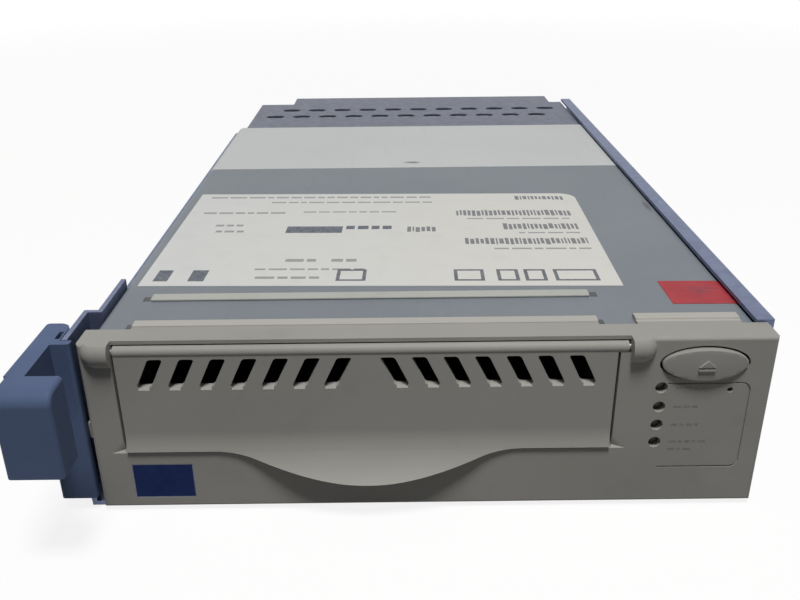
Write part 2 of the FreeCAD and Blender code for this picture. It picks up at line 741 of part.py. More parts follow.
def base_chassis():
    """Folded base: floor, two side walls and a rear wall with socket windows."""
    y0, y1 = depth(BODY_FRONT), depth(DRIVE_DEPTH)
    z0, z1 = height(0), height(COVER_TOP - COVER_T) - COVER_SEAT
    block = bent_shell(CHASSIS_HALF, COVER_BEND_R - COVER_T, z1, z0, y0, y1)
    inner = CHASSIS_HALF - CHASSIS_T
    inside = box(-inner, inner, y0 - 1, y1 - CHASSIS_T, z0 + CHASSIS_T, z1 + 1)
    holes = []
    for y in SIDE_HOLES_Y:
        z = height(SIDE_HOLE_Z)
        holes.append(rod(SCREW_R, (-CHASSIS_HALF - 1, depth(y), z), (-inner + 1, depth(y), z)))
        holes.append(rod(SCREW_R, (inner - 1, depth(y), z), (CHASSIS_HALF + 1, depth(y), z)))
    return cut(block, [inside, socket_window(DATA_SOCKET), socket_window(POWER_SOCKET)] + holes)


def main_board():
    """Large board low in the drive."""
    half = CHASSIS_HALF - CHASSIS_T - BOARD_SIDE_GAP
    z0 = height(MAIN_BOARD_Z)
    return box(-half, half, depth(MAIN_BOARD_FRONT), depth(DRIVE_DEPTH - MAIN_BOARD_REAR), z0, z0 + BOARD_T)


def board_standoffs():
    """Posts between the floor and the board, and on to the deck."""
    posts = []
    for x in (-STANDOFF_X, STANDOFF_X):
        for y in STANDOFF_Y:
            posts.append(upright(STANDOFF_R, (x, y), height(CHASSIS_T), height(MAIN_BOARD_Z)))
            posts.append(upright(STANDOFF_R, (x, y), height(MAIN_BOARD_Z + BOARD_T), height(DECK_Z)))
    return Part.makeCompound(posts)


def board_chip(x, y, width, length, thick):
    """One square package on the board, centred on a place."""
    z0 = height(MAIN_BOARD_Z + BOARD_T)
    return box(x - width / 2, x + width / 2, depth(y - length / 2), depth(y + length / 2), z0, z0 + thick)


def board_chips():
    """Processor, memory and driver packages on the board."""
    return Part.makeCompound([
        board_chip(-44.0, 40.0, 24.0, 24.0, 1.8),
        board_chip(50.0, 96.0, 20.0, 20.0, 1.8),
        board_chip(48.0, 60.0, 14.0, 20.0, 1.4),
        board_chip(-50.0, 110.0, 14.0, 14.0, 1.4),
        board_chip(-52.0, 156.0, 10.0, 18.0, 1.4),
        board_chip(44.0, 160.0, 18.0, 12.0, 1.8),
    ])


def rear_socket(span):
    """Open-backed socket at the board's rear edge, seen through its window."""
    left, right, length = span
    rear = depth(DRIVE_DEPTH - CHASSIS_T) - CLEAR
    low = height(MAIN_BOARD_Z + BOARD_T)
    shell = box(left, right, rear - length, rear, low, low + SOCKET_H)
    pocket = box(left + SOCKET_WALL, right - SOCKET_WALL, rear - length + SOCKET_WALL, rear + 1,
                 low + SOCKET_WALL, low + SOCKET_H - SOCKET_WALL)
    third = (SOCKET_H - 2 * SOCKET_WALL) / 3
    tongue = box(left + 2 * SOCKET_WALL, right - 2 * SOCKET_WALL, rear - length, rear - SOCKET_WALL,
                 low + SOCKET_WALL + third, low + SOCKET_WALL + 2 * third)
    return fuse([shell.cut(pocket), tongue])


def mechanism_deck():
    """Deck plate that carries the motors, posts and rails."""
    half = CHASSIS_HALF - CHASSIS_T
    z0 = height(DECK_Z)
    front, rear = depth(FRONT_BOARD_Y + BOARD_T + DECK_FRONT), depth(DRIVE_DEPTH - DECK_REAR)
    plate = box(-half, half, front, rear, z0, z0 + DECK_T)
    return plate.cut(upright(HUB_MOTOR_R + CLEAR, (SLOT_X, HUB_Y), z0 - 1, z0 + DECK_T + 1))


def lid(y0, y1):
    """Length of lid bent from one sheet: flat top, rounded long edges and side skirts."""
    half = DRIVE_W / 2
    top, low = height(COVER_TOP), height(COVER_TOP - COVER_SKIRT)
    outer = bent_shell(half, COVER_BEND_R, top, low, y0, y1)
    inner = bent_shell(half - COVER_T, COVER_BEND_R - COVER_T, top - COVER_T, low - 1, y0 - 1, y1 + 1)
    return outer.cut(inner)


def top_cover():
    """Front part of the metal lid with a raised cross rib."""
    left, right, front, back = COVER_RIB
    top = height(COVER_TOP)
    half_d = (back - front) / 2
    radius = (half_d ** 2 + COVER_RIB_H ** 2) / (2 * COVER_RIB_H)
    mid, z = depth(front + half_d), top + COVER_RIB_H - radius
    rib = rod(radius, (left, mid, z), (right, mid, z))
    rib = rib.common(box(left, right, depth(front), depth(back), top - COVER_T / 2, top + COVER_RIB_H + 1))
    return fuse([lid(depth(BODY_FRONT), depth(COVER_SPLIT)), rib])


def rear_cover():
    """Rear part of the lid, with one small dimple at its front edge."""
    y0 = depth(COVER_SPLIT + COVER_SEAM)
    dimple = Part.makeSphere(DIMPLE_R, V(0, y0 + DIMPLE_R * 1.2, height(COVER_TOP) + DIMPLE_R * 0.6))
    return lid(y0, depth(DRIVE_DEPTH)).cut(dimple)


def side_screw(side, y):
    """Pan-head screw through the carrier's wall into the drive's side."""
    outer = abs(LEFT_WALL_X) if side < 0 else RAIL_X
    z = height(SIDE_HOLE_Z)
    head = rod(SCREW_HEAD_R, (side * outer, depth(y), z), (side * (outer + SCREW_HEAD_T), depth(y), z))
    rim = [edge for edge in head.Edges if abs(edge.CenterOfMass.x - side * (outer + SCREW_HEAD_T)) < 0.01]
    shank = rod(SCREW_R, (side * outer, depth(y), z), (side * (outer - SCREW_L), depth(y), z))
    return fuse([head.makeChamfer(SCREW_HEAD_T * 0.4, rim), shank])


# ---- Cartridge loader ----
LOADER_HALF = CART_W / 2 + TRAY_SIDE_GAP
RACK_X = SLOT_X + LOADER_HALF + TRAY_T
PITCH_X = RACK_X + RACK_BACK + GEAR_MODULE + GEAR_ROOT_GAP
PITCH_R = GEAR_MODULE * GEAR_TEETH / 2
PINION_X = PITCH_X + PITCH_R + GEAR_SPREAD
GEAR_Z = height(DECK_Z + DECK_T) + RACK_Z


def cartridge_tray():
    """Sheet cage that takes the cartridge: floor, side walls, inturned lips and a back stop."""
    outer = LOADER_HALF + TRAY_T
    y0, y1 = depth(TRAY_FRONT), depth(TRAY_FRONT + CART_L + 1)
    z0 = height(DECK_Z + DECK_T + TRAY_DECK_GAP)
    floor_z = z0 + TRAY_T
    lip_z = floor_z + CART_H + TRAY_TOP_GAP
    cage = box(SLOT_X - outer, SLOT_X + outer, y0, y1, z0, lip_z + TRAY_T)
    room = box(SLOT_X - LOADER_HALF, SLOT_X + LOADER_HALF, y0 - 1, y1 + 1, floor_z, lip_z)
    mouth = box(SLOT_X - LOADER_HALF + TRAY_LIP, SLOT_X + LOADER_HALF - TRAY_LIP, y0 - 1, y1 + 1,
                lip_z - 1, lip_z + TRAY_T + 1)
    stop = box(SLOT_X - outer, SLOT_X + outer, y1, y1 + TRAY_T, z0, floor_z + TRAY_STOP_H)
    reach = HUB_R + HUB_WINDOW_GAP
    window = box(SLOT_X - reach, SLOT_X + reach, depth(HUB_Y - TRAY_TRAVEL) - reach, depth(HUB_Y) + reach,
                 z0 - 1, floor_z + 1)
    return fuse([cage.cut(room).cut(mouth), stop]).cut(window)


def tooth_widths():
    """Width of a tooth at its root, its pitch line and its tip."""
    pitch = math.pi * GEAR_MODULE / 2 - GEAR_BACKLASH
    slope = 2 * math.tan(math.radians(20.0))
    return pitch + slope * (GEAR_MODULE + GEAR_ROOT_GAP), pitch, pitch - slope * GEAR_MODULE


def loader_rack():
    """Rack along the loader's right side."""
    root, _, tip = tooth_widths()
    step = math.pi * GEAR_MODULE
    count = int((RACK_Y[1] - RACK_Y[0]) / step)
    root_x = PITCH_X - GEAR_MODULE - GEAR_ROOT_GAP
    tip_x = PITCH_X + GEAR_MODULE
    first = PINION_Y + step / 2 - step * int((PINION_Y - RACK_Y[0]) / step)
    start, end = first - step / 2, first + step * (count - 0.5)
    outline = [(RACK_X, end), (RACK_X, start), (root_x, start)]
    for i in range(count):
        y = first + step * i
        outline += [(root_x, y - root / 2), (tip_x, y - tip / 2)]
        outline += [(tip_x, y + tip / 2), (root_x, y + root / 2)]
    outline.append((root_x, end))
    return prism([(x, depth(y), GEAR_Z) for x, y in outline], (0, 0, RACK_H))


def load_pinion():
    """Toothed wheel that drives the rack."""
    root, pitch, tip = tooth_widths()
    inner, outer = PITCH_R - GEAR_MODULE - GEAR_ROOT_GAP, PITCH_R + GEAR_MODULE
    outline = []
    for i in range(GEAR_TEETH):
        turn = math.pi + 2 * math.pi * i / GEAR_TEETH
        flank = [(inner, -root), (PITCH_R, -pitch), (outer, -tip)]
        flank += [(outer, tip), (PITCH_R, pitch), (inner, root)]
        for radius, width in flank:
            angle = turn + width / 2 / radius
            x = PINION_X + radius * math.cos(angle)
            outline.append((x, depth(PINION_Y) + radius * math.sin(angle), GEAR_Z))
    bore = upright(LOAD_SHAFT_R + SHAFT_PLAY, (PINION_X, PINION_Y), GEAR_Z - 1, GEAR_Z + RACK_H + 1)
    return prism(outline, (0, 0, RACK_H)).cut(bore)


def load_motor():
    """Motor can on a bridge over the pinion, with its shaft down to the deck."""
    place = (PINION_X, PINION_Y)
    half_l, half_w, thick = LOAD_BRIDGE
    deck_z = height(DECK_Z + DECK_T)
    plate_z = GEAR_Z + RACK_H + CLEAR
    plate = box(PINION_X - half_w, PINION_X + half_w, depth(PINION_Y - half_l), depth(PINION_Y + half_l),
                plate_z, plate_z + thick)
    legs = [box(PINION_X - half_w, PINION_X + half_w, depth(y), depth(y + thick), deck_z, plate_z)
            for y in (PINION_Y - half_l, PINION_Y + half_l - thick)]
    can = upright(LOAD_CAN_R, place, plate_z + thick, plate_z + thick + LOAD_CAN_H)
    shaft = upright(LOAD_SHAFT_R, place, deck_z, plate_z)
    return fuse([plate, can, shaft] + legs)


def hub_stator():
    """Fixed half of the cartridge drive motor, set in the deck's opening."""
    place = (SLOT_X, HUB_Y)
    z0, z1 = height(MAIN_BOARD_Z + BOARD_T), height(DECK_Z + DECK_T)
    ring = upright(HUB_MOTOR_R, place, z0, z1)
    well = upright(HUB_R + 2 * CLEAR, place, z0 + HUB_MOTOR_FLOOR, z1 + 1)
    return fuse([ring.cut(well), upright(HUB_BORE_R, place, z0, height(SLOT_Z) - CLEAR)])


def hub_rotor():
    """Turning disc with a ring of teeth that grips the cartridge's hub."""
    place = (SLOT_X, HUB_Y)
    length, width, deep = HUB_TOOTH
    z0 = height(MAIN_BOARD_Z + BOARD_T) + HUB_MOTOR_FLOOR + CLEAR
    z1 = height(SLOT_Z)
    disc = upright(HUB_R, place, z0, z1 - deep)
    seat = upright(HUB_SEAT_R, place, z1 - deep, z1)
    notches = []
    for i in range(HUB_TEETH):
        notch = box(SLOT_X + HUB_SEAT_R - length, SLOT_X + HUB_SEAT_R + 1, depth(HUB_Y) - width / 2,
                    depth(HUB_Y) + width / 2, z1 - deep, z1 + 1)
        notch.rotate(V(SLOT_X, depth(HUB_Y), 0), V(0, 0, 1), 360 * i / HUB_TEETH)
        notches.append(notch)
    bore = upright(HUB_BORE_R + SHAFT_PLAY, place, z0 - 1, z1 + 1)
    return cut(fuse([disc, seat]), [bore] + notches)


# ---- Take-up side ----
REEL_Z = DECK_Z + DECK_T + REEL_LIFT


def takeup_motor():
    """Motor base and spindle under the take-up reel."""
    place = (REEL_X, REEL_Y)
    z0 = height(DECK_Z + DECK_T)
    return fuse([upright(REEL_MOTOR_R, place, z0, height(REEL_Z) - CLEAR),
                 upright(SHAFT_R, place, z0, height(REEL_Z + REEL_H) + 1)])


def takeup_reel():
    """Two flanges on a hub, bored for the spindle."""
    place = (REEL_X, REEL_Y)
    z0, z1 = height(REEL_Z), height(REEL_Z + REEL_H)
    reel = fuse([upright(REEL_HUB_R, place, z0, z1), upright(REEL_R, place, z0, z0 + REEL_FLANGE_T),
                 upright(REEL_R, place, z1 - REEL_FLANGE_T, z1)])
    return reel.cut(upright(SHAFT_R + SHAFT_PLAY, place, z0 - 1, z1 + 1))


def roller_posts():
    """Pins on the deck for the guide rollers."""
    z0, z1 = height(DECK_Z + DECK_T), height(REEL_Z)
    posts = []
    for place in ROLLERS:
        foot = upright(ROLLER_FOOT_R, place, z0, z1 - CLEAR)
        posts.append(fuse([foot, upright(ROLLER_PIN_R, place, z0, z1 + ROLLER_H + CLEAR)]))
    return Part.makeCompound(posts)


def guide_roller(place):
    """Flanged tape roller on its pin."""
    z0 = height(REEL_Z)
    z1 = z0 + ROLLER_H
    roller = fuse([upright(ROLLER_R, place, z0, z1),
                   upright(ROLLER_FLANGE_R, place, z0, z0 + ROLLER_FLANGE_T),
                   upright(ROLLER_FLANGE_R, place, z1 - ROLLER_FLANGE_T, z1)])
    return roller.cut(upright(ROLLER_PIN_R + SHAFT_PLAY, place, z0 - 1, z1 + 1))


HEAD_LOW = height(REEL_Z) + HEAD_TRAVEL
HEAD_TOP = HEAD_LOW + HEAD_H
HEAD_BACK_X = HEAD_X + HEAD_DEPTH
GUIDE_ROD_X = HEAD_X + HEAD_DEPTH / 2
HEAD_GUIDES = [(GUIDE_ROD_X, HEAD_Y + side * HEAD_GUIDE_Y) for side in (-1, 1)]


def head_block(x0, x1, half_d, z0, z1):
    """Block centred on the head's line across the tape."""
    return box(x0, x1, depth(HEAD_Y - half_d), depth(HEAD_Y + half_d), z0, z1)


def head_base():
    """Bent frame for the head: foot, back and roof, joined by two guide rods."""
    z0, z1 = height(DECK_Z + DECK_T), height(REEL_Z) + ROLLER_H + HEAD_ROOF_LIFT
    foot = head_block(HEAD_X, HEAD_BACK_X, HEAD_HALF_D, z0, z0 + HEAD_SHEET)
    back = head_block(HEAD_BACK_X - HEAD_SHEET, HEAD_BACK_X, HEAD_HALF_D, z0, z1)
    roof = head_block(HEAD_X, HEAD_BACK_X, HEAD_HALF_D, z1 - HEAD_SHEET, z1)
    return fuse([foot, back, roof] + [upright(HEAD_GUIDE_R, place, z0, z1) for place in HEAD_GUIDES])


def head_carriage():
    """Block that slides up and down the guide rods and holds the head."""
    half = HEAD_CARRIAGE_T / 2
    block = head_block(GUIDE_ROD_X - half, GUIDE_ROD_X + half, HEAD_HALF_D - CLEAR, HEAD_LOW, HEAD_TOP)
    arm = head_block(HEAD_X - HEAD_ARM_L, GUIDE_ROD_X - half, HEAD_HALF_D / 2,
                     HEAD_LOW + HEAD_ARM_IN, HEAD_TOP - HEAD_ARM_IN)
    radius = HEAD_GUIDE_R + SHAFT_PLAY
    bores = [upright(radius, place, HEAD_LOW - 1, HEAD_TOP + 1) for place in HEAD_GUIDES]
    return cut(fuse([block, arm]), bores)


def tape_head():
    """Head with a crowned face, on the carriage's arm."""
    back_x = HEAD_X - HEAD_ARM_L
    face_x = back_x - HEAD_FACE_T
    block = head_block(face_x, back_x, HEAD_FACE_HALF_D, HEAD_LOW, HEAD_TOP)
    return block.common(upright(HEAD_CROWN_R, (face_x + HEAD_CROWN_R, HEAD_Y), HEAD_LOW, HEAD_TOP))


# ---- Carrier ----
def sled_tray():
    """Flat carrier floor with an ear at the front left and round lightening holes."""
    y0, y1 = depth(BODY_FRONT), depth(TRAY_REAR)
    plate = box(LEFT_WALL_X, RAIL_X, y0, y1, 0, SHEET_T)
    ear = box(EAR_X, LEFT_WALL_X, depth(EAR_FRONT), depth(EAR_STEP + SHEET_T), 0, SHEET_T)
    tongue = box(SHROUD_LEFT, SHROUD_RIGHT, y1, depth(OVERALL_DEPTH), 0, SHEET_T)
    holes = [upright(TRAY_HOLE_R, (side * TRAY_HOLES_X, y), -1, SHEET_T + 1)
             for side in (-1, 1) for y in TRAY_HOLES_Y]
    return cut(fuse([plate, ear, tongue]), holes)


def pressed_boss(x, side, y):
    """Boss pressed inwards from a side wall's inner face to the drive's side."""
    reach = abs(x) - CHASSIS_HALF
    return Part.makeCone(PRESSED_BOSS_R, PRESSED_BOSS_R - PRESSED_BOSS_SLOPE, reach,
                         V(x, depth(y), height(SIDE_HOLE_Z)), V(-side, 0, 0))


def screw_hole(outer, side, y):
    """Clearance hole for one side screw, through a wall and its boss."""
    z = height(SIDE_HOLE_Z)
    inner = side * (CHASSIS_HALF - 1)
    return rod(SCREW_R + SCREW_HOLE_GAP, (outer + side, depth(y), z), (inner, depth(y), z))


def sled_left_wall():
    """Bent side wall, stepped out at the front to carry the handle, lower behind the step."""
    z0 = SHEET_T
    inner, ear_inner = LEFT_WALL_X + SHEET_T, EAR_X + SHEET_T
    step, step_back = depth(EAR_STEP), depth(EAR_STEP + SHEET_T)
    plan = [(LEFT_WALL_X, depth(EAR_REAR)), (inner, depth(EAR_REAR)), (inner, step),
            (ear_inner, step), (ear_inner, depth(EAR_FRONT)), (EAR_X, depth(EAR_FRONT)),
            (EAR_X, step_back), (LEFT_WALL_X, step_back)]
    ear = prism([(x, y, z0) for x, y in plan], (0, 0, height(EAR_Z) - z0))
    slope_y, slope_z = LEFT_WALL_SLOPE
    rear, top = depth(LEFT_WALL_REAR), height(LEFT_WALL_Z)
    side = [(depth(EAR_REAR), z0), (rear + slope_y, z0), (rear + slope_y, top - slope_z), (rear, top),
            (depth(EAR_REAR), top)]
    wall = prism([(LEFT_WALL_X, y, z) for y, z in side], (SHEET_T, 0, 0))

    pin = (HANDLE_PIN_X, HANDLE_PIN_Y)
    lug_z = height(LUG_Z - LUG_T / 2)
    lug = fuse([upright(LUG_R, pin, lug_z, lug_z + LUG_T),
                box(HANDLE_PIN_X, ear_inner, depth(HANDLE_PIN_Y - LUG_R), depth(HANDLE_PIN_Y + LUG_R),
                    lug_z, lug_z + LUG_T)])
    bore = upright(HANDLE_PIN_R + HANDLE_PIN_PLAY, pin, lug_z - 1, lug_z + LUG_T + 1)
    bosses = [pressed_boss(inner, -1, y) for y in SIDE_HOLES_Y]
    holes = [screw_hole(LEFT_WALL_X, -1, y) for y in SIDE_HOLES_Y]
    return cut(fuse([ear, wall, lug] + bosses), [bore] + holes)


def sled_right_rail():
    """Side rail with an inturned top lip and pressed bosses for the drive's screws."""
    y0, y1 = depth(BODY_FRONT), depth(TRAY_REAR)
    top = height(RAIL_TOP)
    wall = box(RAIL_X - SHEET_T, RAIL_X, y0, y1, SHEET_T, top)
    lip = box(RAIL_LIP_X, RAIL_X, y0, y1, top - RAIL_LIP_T, top)
    bosses = [pressed_boss(RAIL_X - SHEET_T, 1, y) for y in SIDE_HOLES_Y]
    return cut(fuse([wall, lip] + bosses), [screw_hole(RAIL_X, 1, y) for y in SIDE_HOLES_Y])


def hood_space(inset, z0, z1):
    """Plan shape of the rear hood: wide part and narrower shroud, set in by a wall."""
    front = depth(DRIVE_DEPTH) + BODY_SEAM - (1 if inset else 0)
    step = depth(TRAY_REAR) - inset
    rear = depth(OVERALL_DEPTH) + (1 if inset else 0)
    wide = box(HOOD_LEFT + inset, HOOD_RIGHT - inset, front, step, z0, z1)
    return fuse([wide, box(SHROUD_LEFT + inset, SHROUD_RIGHT - inset, step - 1, rear, z0, z1)])


def rear_hood():
    """Walls of the galvanised rear hood, open below, in front and at the shroud's mouth."""
    z0, z1 = SHEET_T, height(HOOD_TOP - HOOD_T)
    return hood_space(0, z0, z1).cut(hood_space(HOOD_T, z0 - 1, z1 + 1))


def hood_vents():
    """Staggered rows of vent slots in the hood's roof."""
    slots = []
    mid_x = (HOOD_LEFT + HOOD_RIGHT) / 2
    z = height(HOOD_TOP - HOOD_T) - 1
    for row in range(HOOD_VENT_ROWS):
        shift = HOOD_VENT_PITCH_X / 4 * (1 if row % 2 else -1)
        y = depth(DRIVE_DEPTH + HOOD_VENT_FRONT + row * HOOD_VENT_PITCH_Y)
        for column in range(HOOD_VENT_COLUMNS):
            x = mid_x + (column - (HOOD_VENT_COLUMNS - 1) / 2) * HOOD_VENT_PITCH_X + shift
            slots.append(obround(x, y, z, HOOD_VENT_L, HOOD_VENT_R, HOOD_T + 2))
    return slots


def rear_hood_roof():
    """Perforated roof of the rear hood."""
    return cut(hood_space(0, height(HOOD_TOP - HOOD_T), height(HOOD_TOP)), hood_vents())


def adapter_board():
    """Upright board in the hood that joins the drive to the rear plug."""
    left, right, low, high = ADAPTER
    y0 = depth(ADAPTER_Y)
    return box(left, right, y0, y0 + BOARD_T, height(low), height(high))


def adapter_bracket():
    """Folded bracket that stands on the tray and carries the upright board."""
    left, right, _, high = ADAPTER
    face_y = depth(ADAPTER_Y)
    top = height(high - BRACKET_TOP_GAP)
    foot = box(left, right, face_y - BRACKET_FOOT, face_y, SHEET_T, 2 * SHEET_T)
    back = box(left, right, face_y - SHEET_T, face_y, SHEET_T, top)
    window = rounded_plate(left + BRACKET_RIM, right - BRACKET_RIM, height(BRACKET_RIM), top - BRACKET_RIM,
                           BRACKET_CORNER_R, face_y - 2 * SHEET_T, face_y + 1)
    return fuse([foot, back]).cut(window)


def blind_mate_plug():
    """Rear connector with a tongue in a D-shaped shell."""
    left, right, low, high = PLUG
    side_gap, thick, sink = PLUG_TONGUE
    wall, r = PLUG_WALL, PLUG_CORNER_R
    y0 = depth(ADAPTER_Y) + BOARD_T
    y1 = y0 + PLUG_DEPTH
    shell = rounded_plate(left, right, height(low), height(high), r, y0, y1)
    socket = rounded_plate(left + wall, right - wall, height(low) + wall, height(high) - wall, r - wall / 2,
                           y0 + PLUG_FLOOR, y1 + 1)
    tongue_z = height((low + high) / 2) - thick / 2
    tongue = box(left + side_gap, right - side_gap, y0 + PLUG_FLOOR / 2, y1 - sink,
                 tongue_z, tongue_z + thick)
    return fuse([shell.cut(socket), tongue])


def guide_pin(x):
    """Tapered steel pin that lines the carrier up with its bay."""
    y0 = depth(ADAPTER_Y) + BOARD_T
    z = height(GUIDE_Z)
    foot = rod(GUIDE_FOOT_R, (x, y0, z), (x, y0 + GUIDE_FOOT_T, z))
    shank = rod(GUIDE_R, (x, y0, z), (x, y0 + GUIDE_L, z))
    nose = Part.makeCone(GUIDE_R, GUIDE_R * 0.4, GUIDE_NOSE_L, V(x, y0 + GUIDE_L, z), V(0, 1, 0))
    return fuse([foot, shank, nose])


# ---- Release handle ----
HANDLE_PIN_X = (HANDLE_INNER + HANDLE_OUTER) / 2


def pivot_block():
    """Upright block about the pin: rounded on the carrier's side, square outside, with a front cap."""
    low, top = height(HANDLE_LOW), height(HANDLE_H)
    pin = (HANDLE_PIN_X, HANDLE_PIN_Y)
    half = (HANDLE_INNER - HANDLE_OUTER) / 2
    front = box(HANDLE_OUTER, HANDLE_INNER, depth(HANDLE_FRONT), depth(HANDLE_PIN_Y), low, top)
    heel = box(HANDLE_OUTER, HANDLE_PIN_X, depth(HANDLE_PIN_Y), depth(HANDLE_BACK), low, top)
    corner = [edge for edge in along(heel, "z") if edge.CenterOfMass.y > depth(HANDLE_BACK) - 0.01
              and edge.CenterOfMass.x < HANDLE_OUTER + 0.01]
    cap_gap, cap_front = HANDLE_CAP
    cap_right = -BEZEL_W / 2 - cap_gap
    cap = box(HANDLE_OUTER, cap_right, depth(cap_front), depth(HANDLE_FRONT), low, top)
    cap_edges = [edge for edge in along(cap, "z") if edge.CenterOfMass.y < depth(cap_front) + 0.01]
    return fuse([front, upright(half, pin, low, top), heel.makeFillet(HANDLE_BACK_R, corner),
                 cap.makeFillet(HANDLE_BACK_R, cap_edges)])


def handle_grip():
    """Forward arm and the plate that the fingers pull on."""
    low, top = height(GRIP_Z), height(HANDLE_H)
    arm = box(HANDLE_OUTER, HANDLE_OUTER + HANDLE_ARM_T, depth(GRIP_BACK), depth(HANDLE_FRONT), low, top)
    grip = box(HANDLE_OUTER, GRIP_OVER - BEZEL_W / 2, depth(GRIP_FRONT), depth(GRIP_BACK), low, top)
    front = [edge for edge in along(grip, "x") if edge.CenterOfMass.y < depth(GRIP_FRONT) + 0.01]
    upper = [edge for edge in front if edge.CenterOfMass.z > (low + top) / 2]
    grip = grip.makeFillet(GRIP_TOP_R, upper)
    sides = [edge for edge in along(grip, "z") if edge.CenterOfMass.y < depth(GRIP_FRONT) + 0.01]
    return fuse([arm, grip.makeFillet(GRIP_EDGE_R, sides)])


def lug_notch():
    """Room for the carrier's lug over the handle's whole swing."""
    pin = (HANDLE_PIN_X, HANDLE_PIN_Y)
    low = height(LUG_Z - LUG_T / 2) - LUG_GAP
    top = height(LUG_Z + LUG_T / 2) + LUG_GAP
    reach = LUG_R + LUG_GAP
    tools = [upright(reach, pin, low, top)]
    for turn in (0.0, HANDLE_SWING / 2, HANDLE_SWING):
        way = box(HANDLE_PIN_X, HANDLE_PIN_X + HANDLE_INNER - HANDLE_OUTER, depth(HANDLE_PIN_Y) - reach,
                  depth(HANDLE_PIN_Y) + reach, low, top)
        way.rotate(V(HANDLE_PIN_X, depth(HANDLE_PIN_Y), 0), V(0, 0, 1), turn)
        tools.append(way)
    return tools


def release_handle():
    """Hooked lever: pivot block, forward arm and grip plate, notched for the carrier's lug."""
    top = height(HANDLE_H)
    far, near, y0, y1 = SLIT
    slit = box(HANDLE_INNER - far, HANDLE_INNER - near, depth(y0), depth(y1), top - SLIT_D, top + 1)
    return cut(fuse([pivot_block(), handle_grip()]), [slit, handle_pin()] + lug_notch())


def handle_pin():
    """Steel pin pressed up into the handle and turning in the carrier's lug."""
    return upright(HANDLE_PIN_R, (HANDLE_PIN_X, HANDLE_PIN_Y), height(HANDLE_LOW),
                   height(LUG_Z + LUG_T / 2 + HANDLE_PIN_OVER))


# ---- Build ----
def main():
    os.makedirs("parts", exist_ok=True)
    save("front_bezel", front_bezel())
    save("badge_plate", badge_plate())
    save("tape_door", tape_door())
    save("door_pin_left", door_pin(-1))
    save("door_pin_right", door_pin(1))
    save("eject_button", eject_button())
    save("eject_switch_plunger", switch_plunger(BUTTON_X, BUTTON_Z, SWITCH_PIN_R, BUTTON_TRAVEL))
    save("eject_switch", switch_case(BUTTON_X, BUTTON_Z, SWITCH_PIN_R))
    save("reset_plunger", reset_plunger())
    save("reset_switch", switch_case(RESET_X, RESET_Z, RESET_PIN_R))
    save("light_pipes", light_pipes())
    save("status_leds", status_leds())
    save("front_panel_board", front_panel_board())
    save("board_screws", board_screws())
    save("base_chassis", base_chassis())
    save("main_board", main_board())
    save("board_standoffs", board_standoffs())
    save("board_chips", board_chips())
    save("data_socket", rear_socket(DATA_SOCKET))
    save("power_socket", rear_socket(POWER_SOCKET))
    save("mechanism_deck", mechanism_deck())
    save("top_cover", top_cover())
    save("rear_cover", rear_cover())
    for i, (side, y) in enumerate([(side, y) for side in (-1, 1) for y in SIDE_HOLES_Y]):
        save("side_screw_%d" % (i + 1), side_screw(side, y))
    save("cartridge_tray", cartridge_tray())
    save("loader_rack", loader_rack())
    save("load_pinion", load_pinion())
    save("load_motor", load_motor())
    save("hub_stator", hub_stator())
    save("hub_rotor", hub_rotor())
    save("takeup_motor", takeup_motor())
    save("takeup_reel", takeup_reel())
    save("roller_posts", roller_posts())
    for i, place in enumerate(ROLLERS):
        save("guide_roller_%d" % (i + 1), guide_roller(place))
    save("head_base", head_base())
    save("head_carriage", head_carriage())
    save("tape_head", tape_head())
    save("sled_tray", sled_tray())
    save("sled_left_wall", sled_left_wall())
    save("sled_right_rail", sled_right_rail())
    save("rear_hood", rear_hood())
    save("rear_hood_roof", rear_hood_roof())
    save("adapter_board", adapter_board())
    save("adapter_bracket", adapter_bracket())
    save("blind_mate_plug", blind_mate_plug())
    for name, x in zip(("guide_pin_left", "guide_pin_right"), GUIDE_X):
        save(name, guide_pin(x))
    save("release_handle", release_handle())
    save("handle_pin", handle_pin())


main()
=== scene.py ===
import math
import random

import bmesh
import bpy
from mathutils import Matrix, Vector


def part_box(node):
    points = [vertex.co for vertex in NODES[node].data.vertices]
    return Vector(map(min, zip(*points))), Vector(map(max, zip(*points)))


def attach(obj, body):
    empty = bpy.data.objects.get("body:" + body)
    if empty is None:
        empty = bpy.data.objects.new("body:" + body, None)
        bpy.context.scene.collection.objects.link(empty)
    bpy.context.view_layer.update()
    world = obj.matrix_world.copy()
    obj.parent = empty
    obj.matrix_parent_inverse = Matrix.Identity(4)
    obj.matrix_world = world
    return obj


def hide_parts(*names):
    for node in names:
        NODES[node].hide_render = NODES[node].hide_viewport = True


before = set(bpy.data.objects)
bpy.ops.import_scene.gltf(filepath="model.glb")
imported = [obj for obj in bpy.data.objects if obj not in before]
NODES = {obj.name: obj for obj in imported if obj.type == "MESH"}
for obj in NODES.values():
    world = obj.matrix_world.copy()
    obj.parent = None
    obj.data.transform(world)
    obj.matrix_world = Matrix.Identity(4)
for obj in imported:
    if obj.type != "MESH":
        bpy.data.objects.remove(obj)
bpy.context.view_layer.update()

# ---------------------------------------------------------------------
# Camera. It looks slightly down on the drive's front from just above the bezel, close enough
# for the long lid to narrow strongly towards the back.
# ---------------------------------------------------------------------
MM = 0.001
BADGE_SINK = 0.05 * MM
FACE_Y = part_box("badge_plate")[0].y - BADGE_SINK
BEZEL_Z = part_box("front_bezel")[0].z
EYE = Vector((-6.1 * MM, FACE_Y - 157.5 * MM, BEZEL_Z + 124.2 * MM))
PITCH_DOWN = math.radians(24.1)
YAW = math.radians(-0.11)
ROLL = math.radians(-0.59)
SENSOR_W = 36.0
FOCAL_SHARE = 846.9 / 800.0
VIEW_SHIFT_UP = -0.0125
CLIP_NEAR = 0.01
CLIP_FAR = 50.0

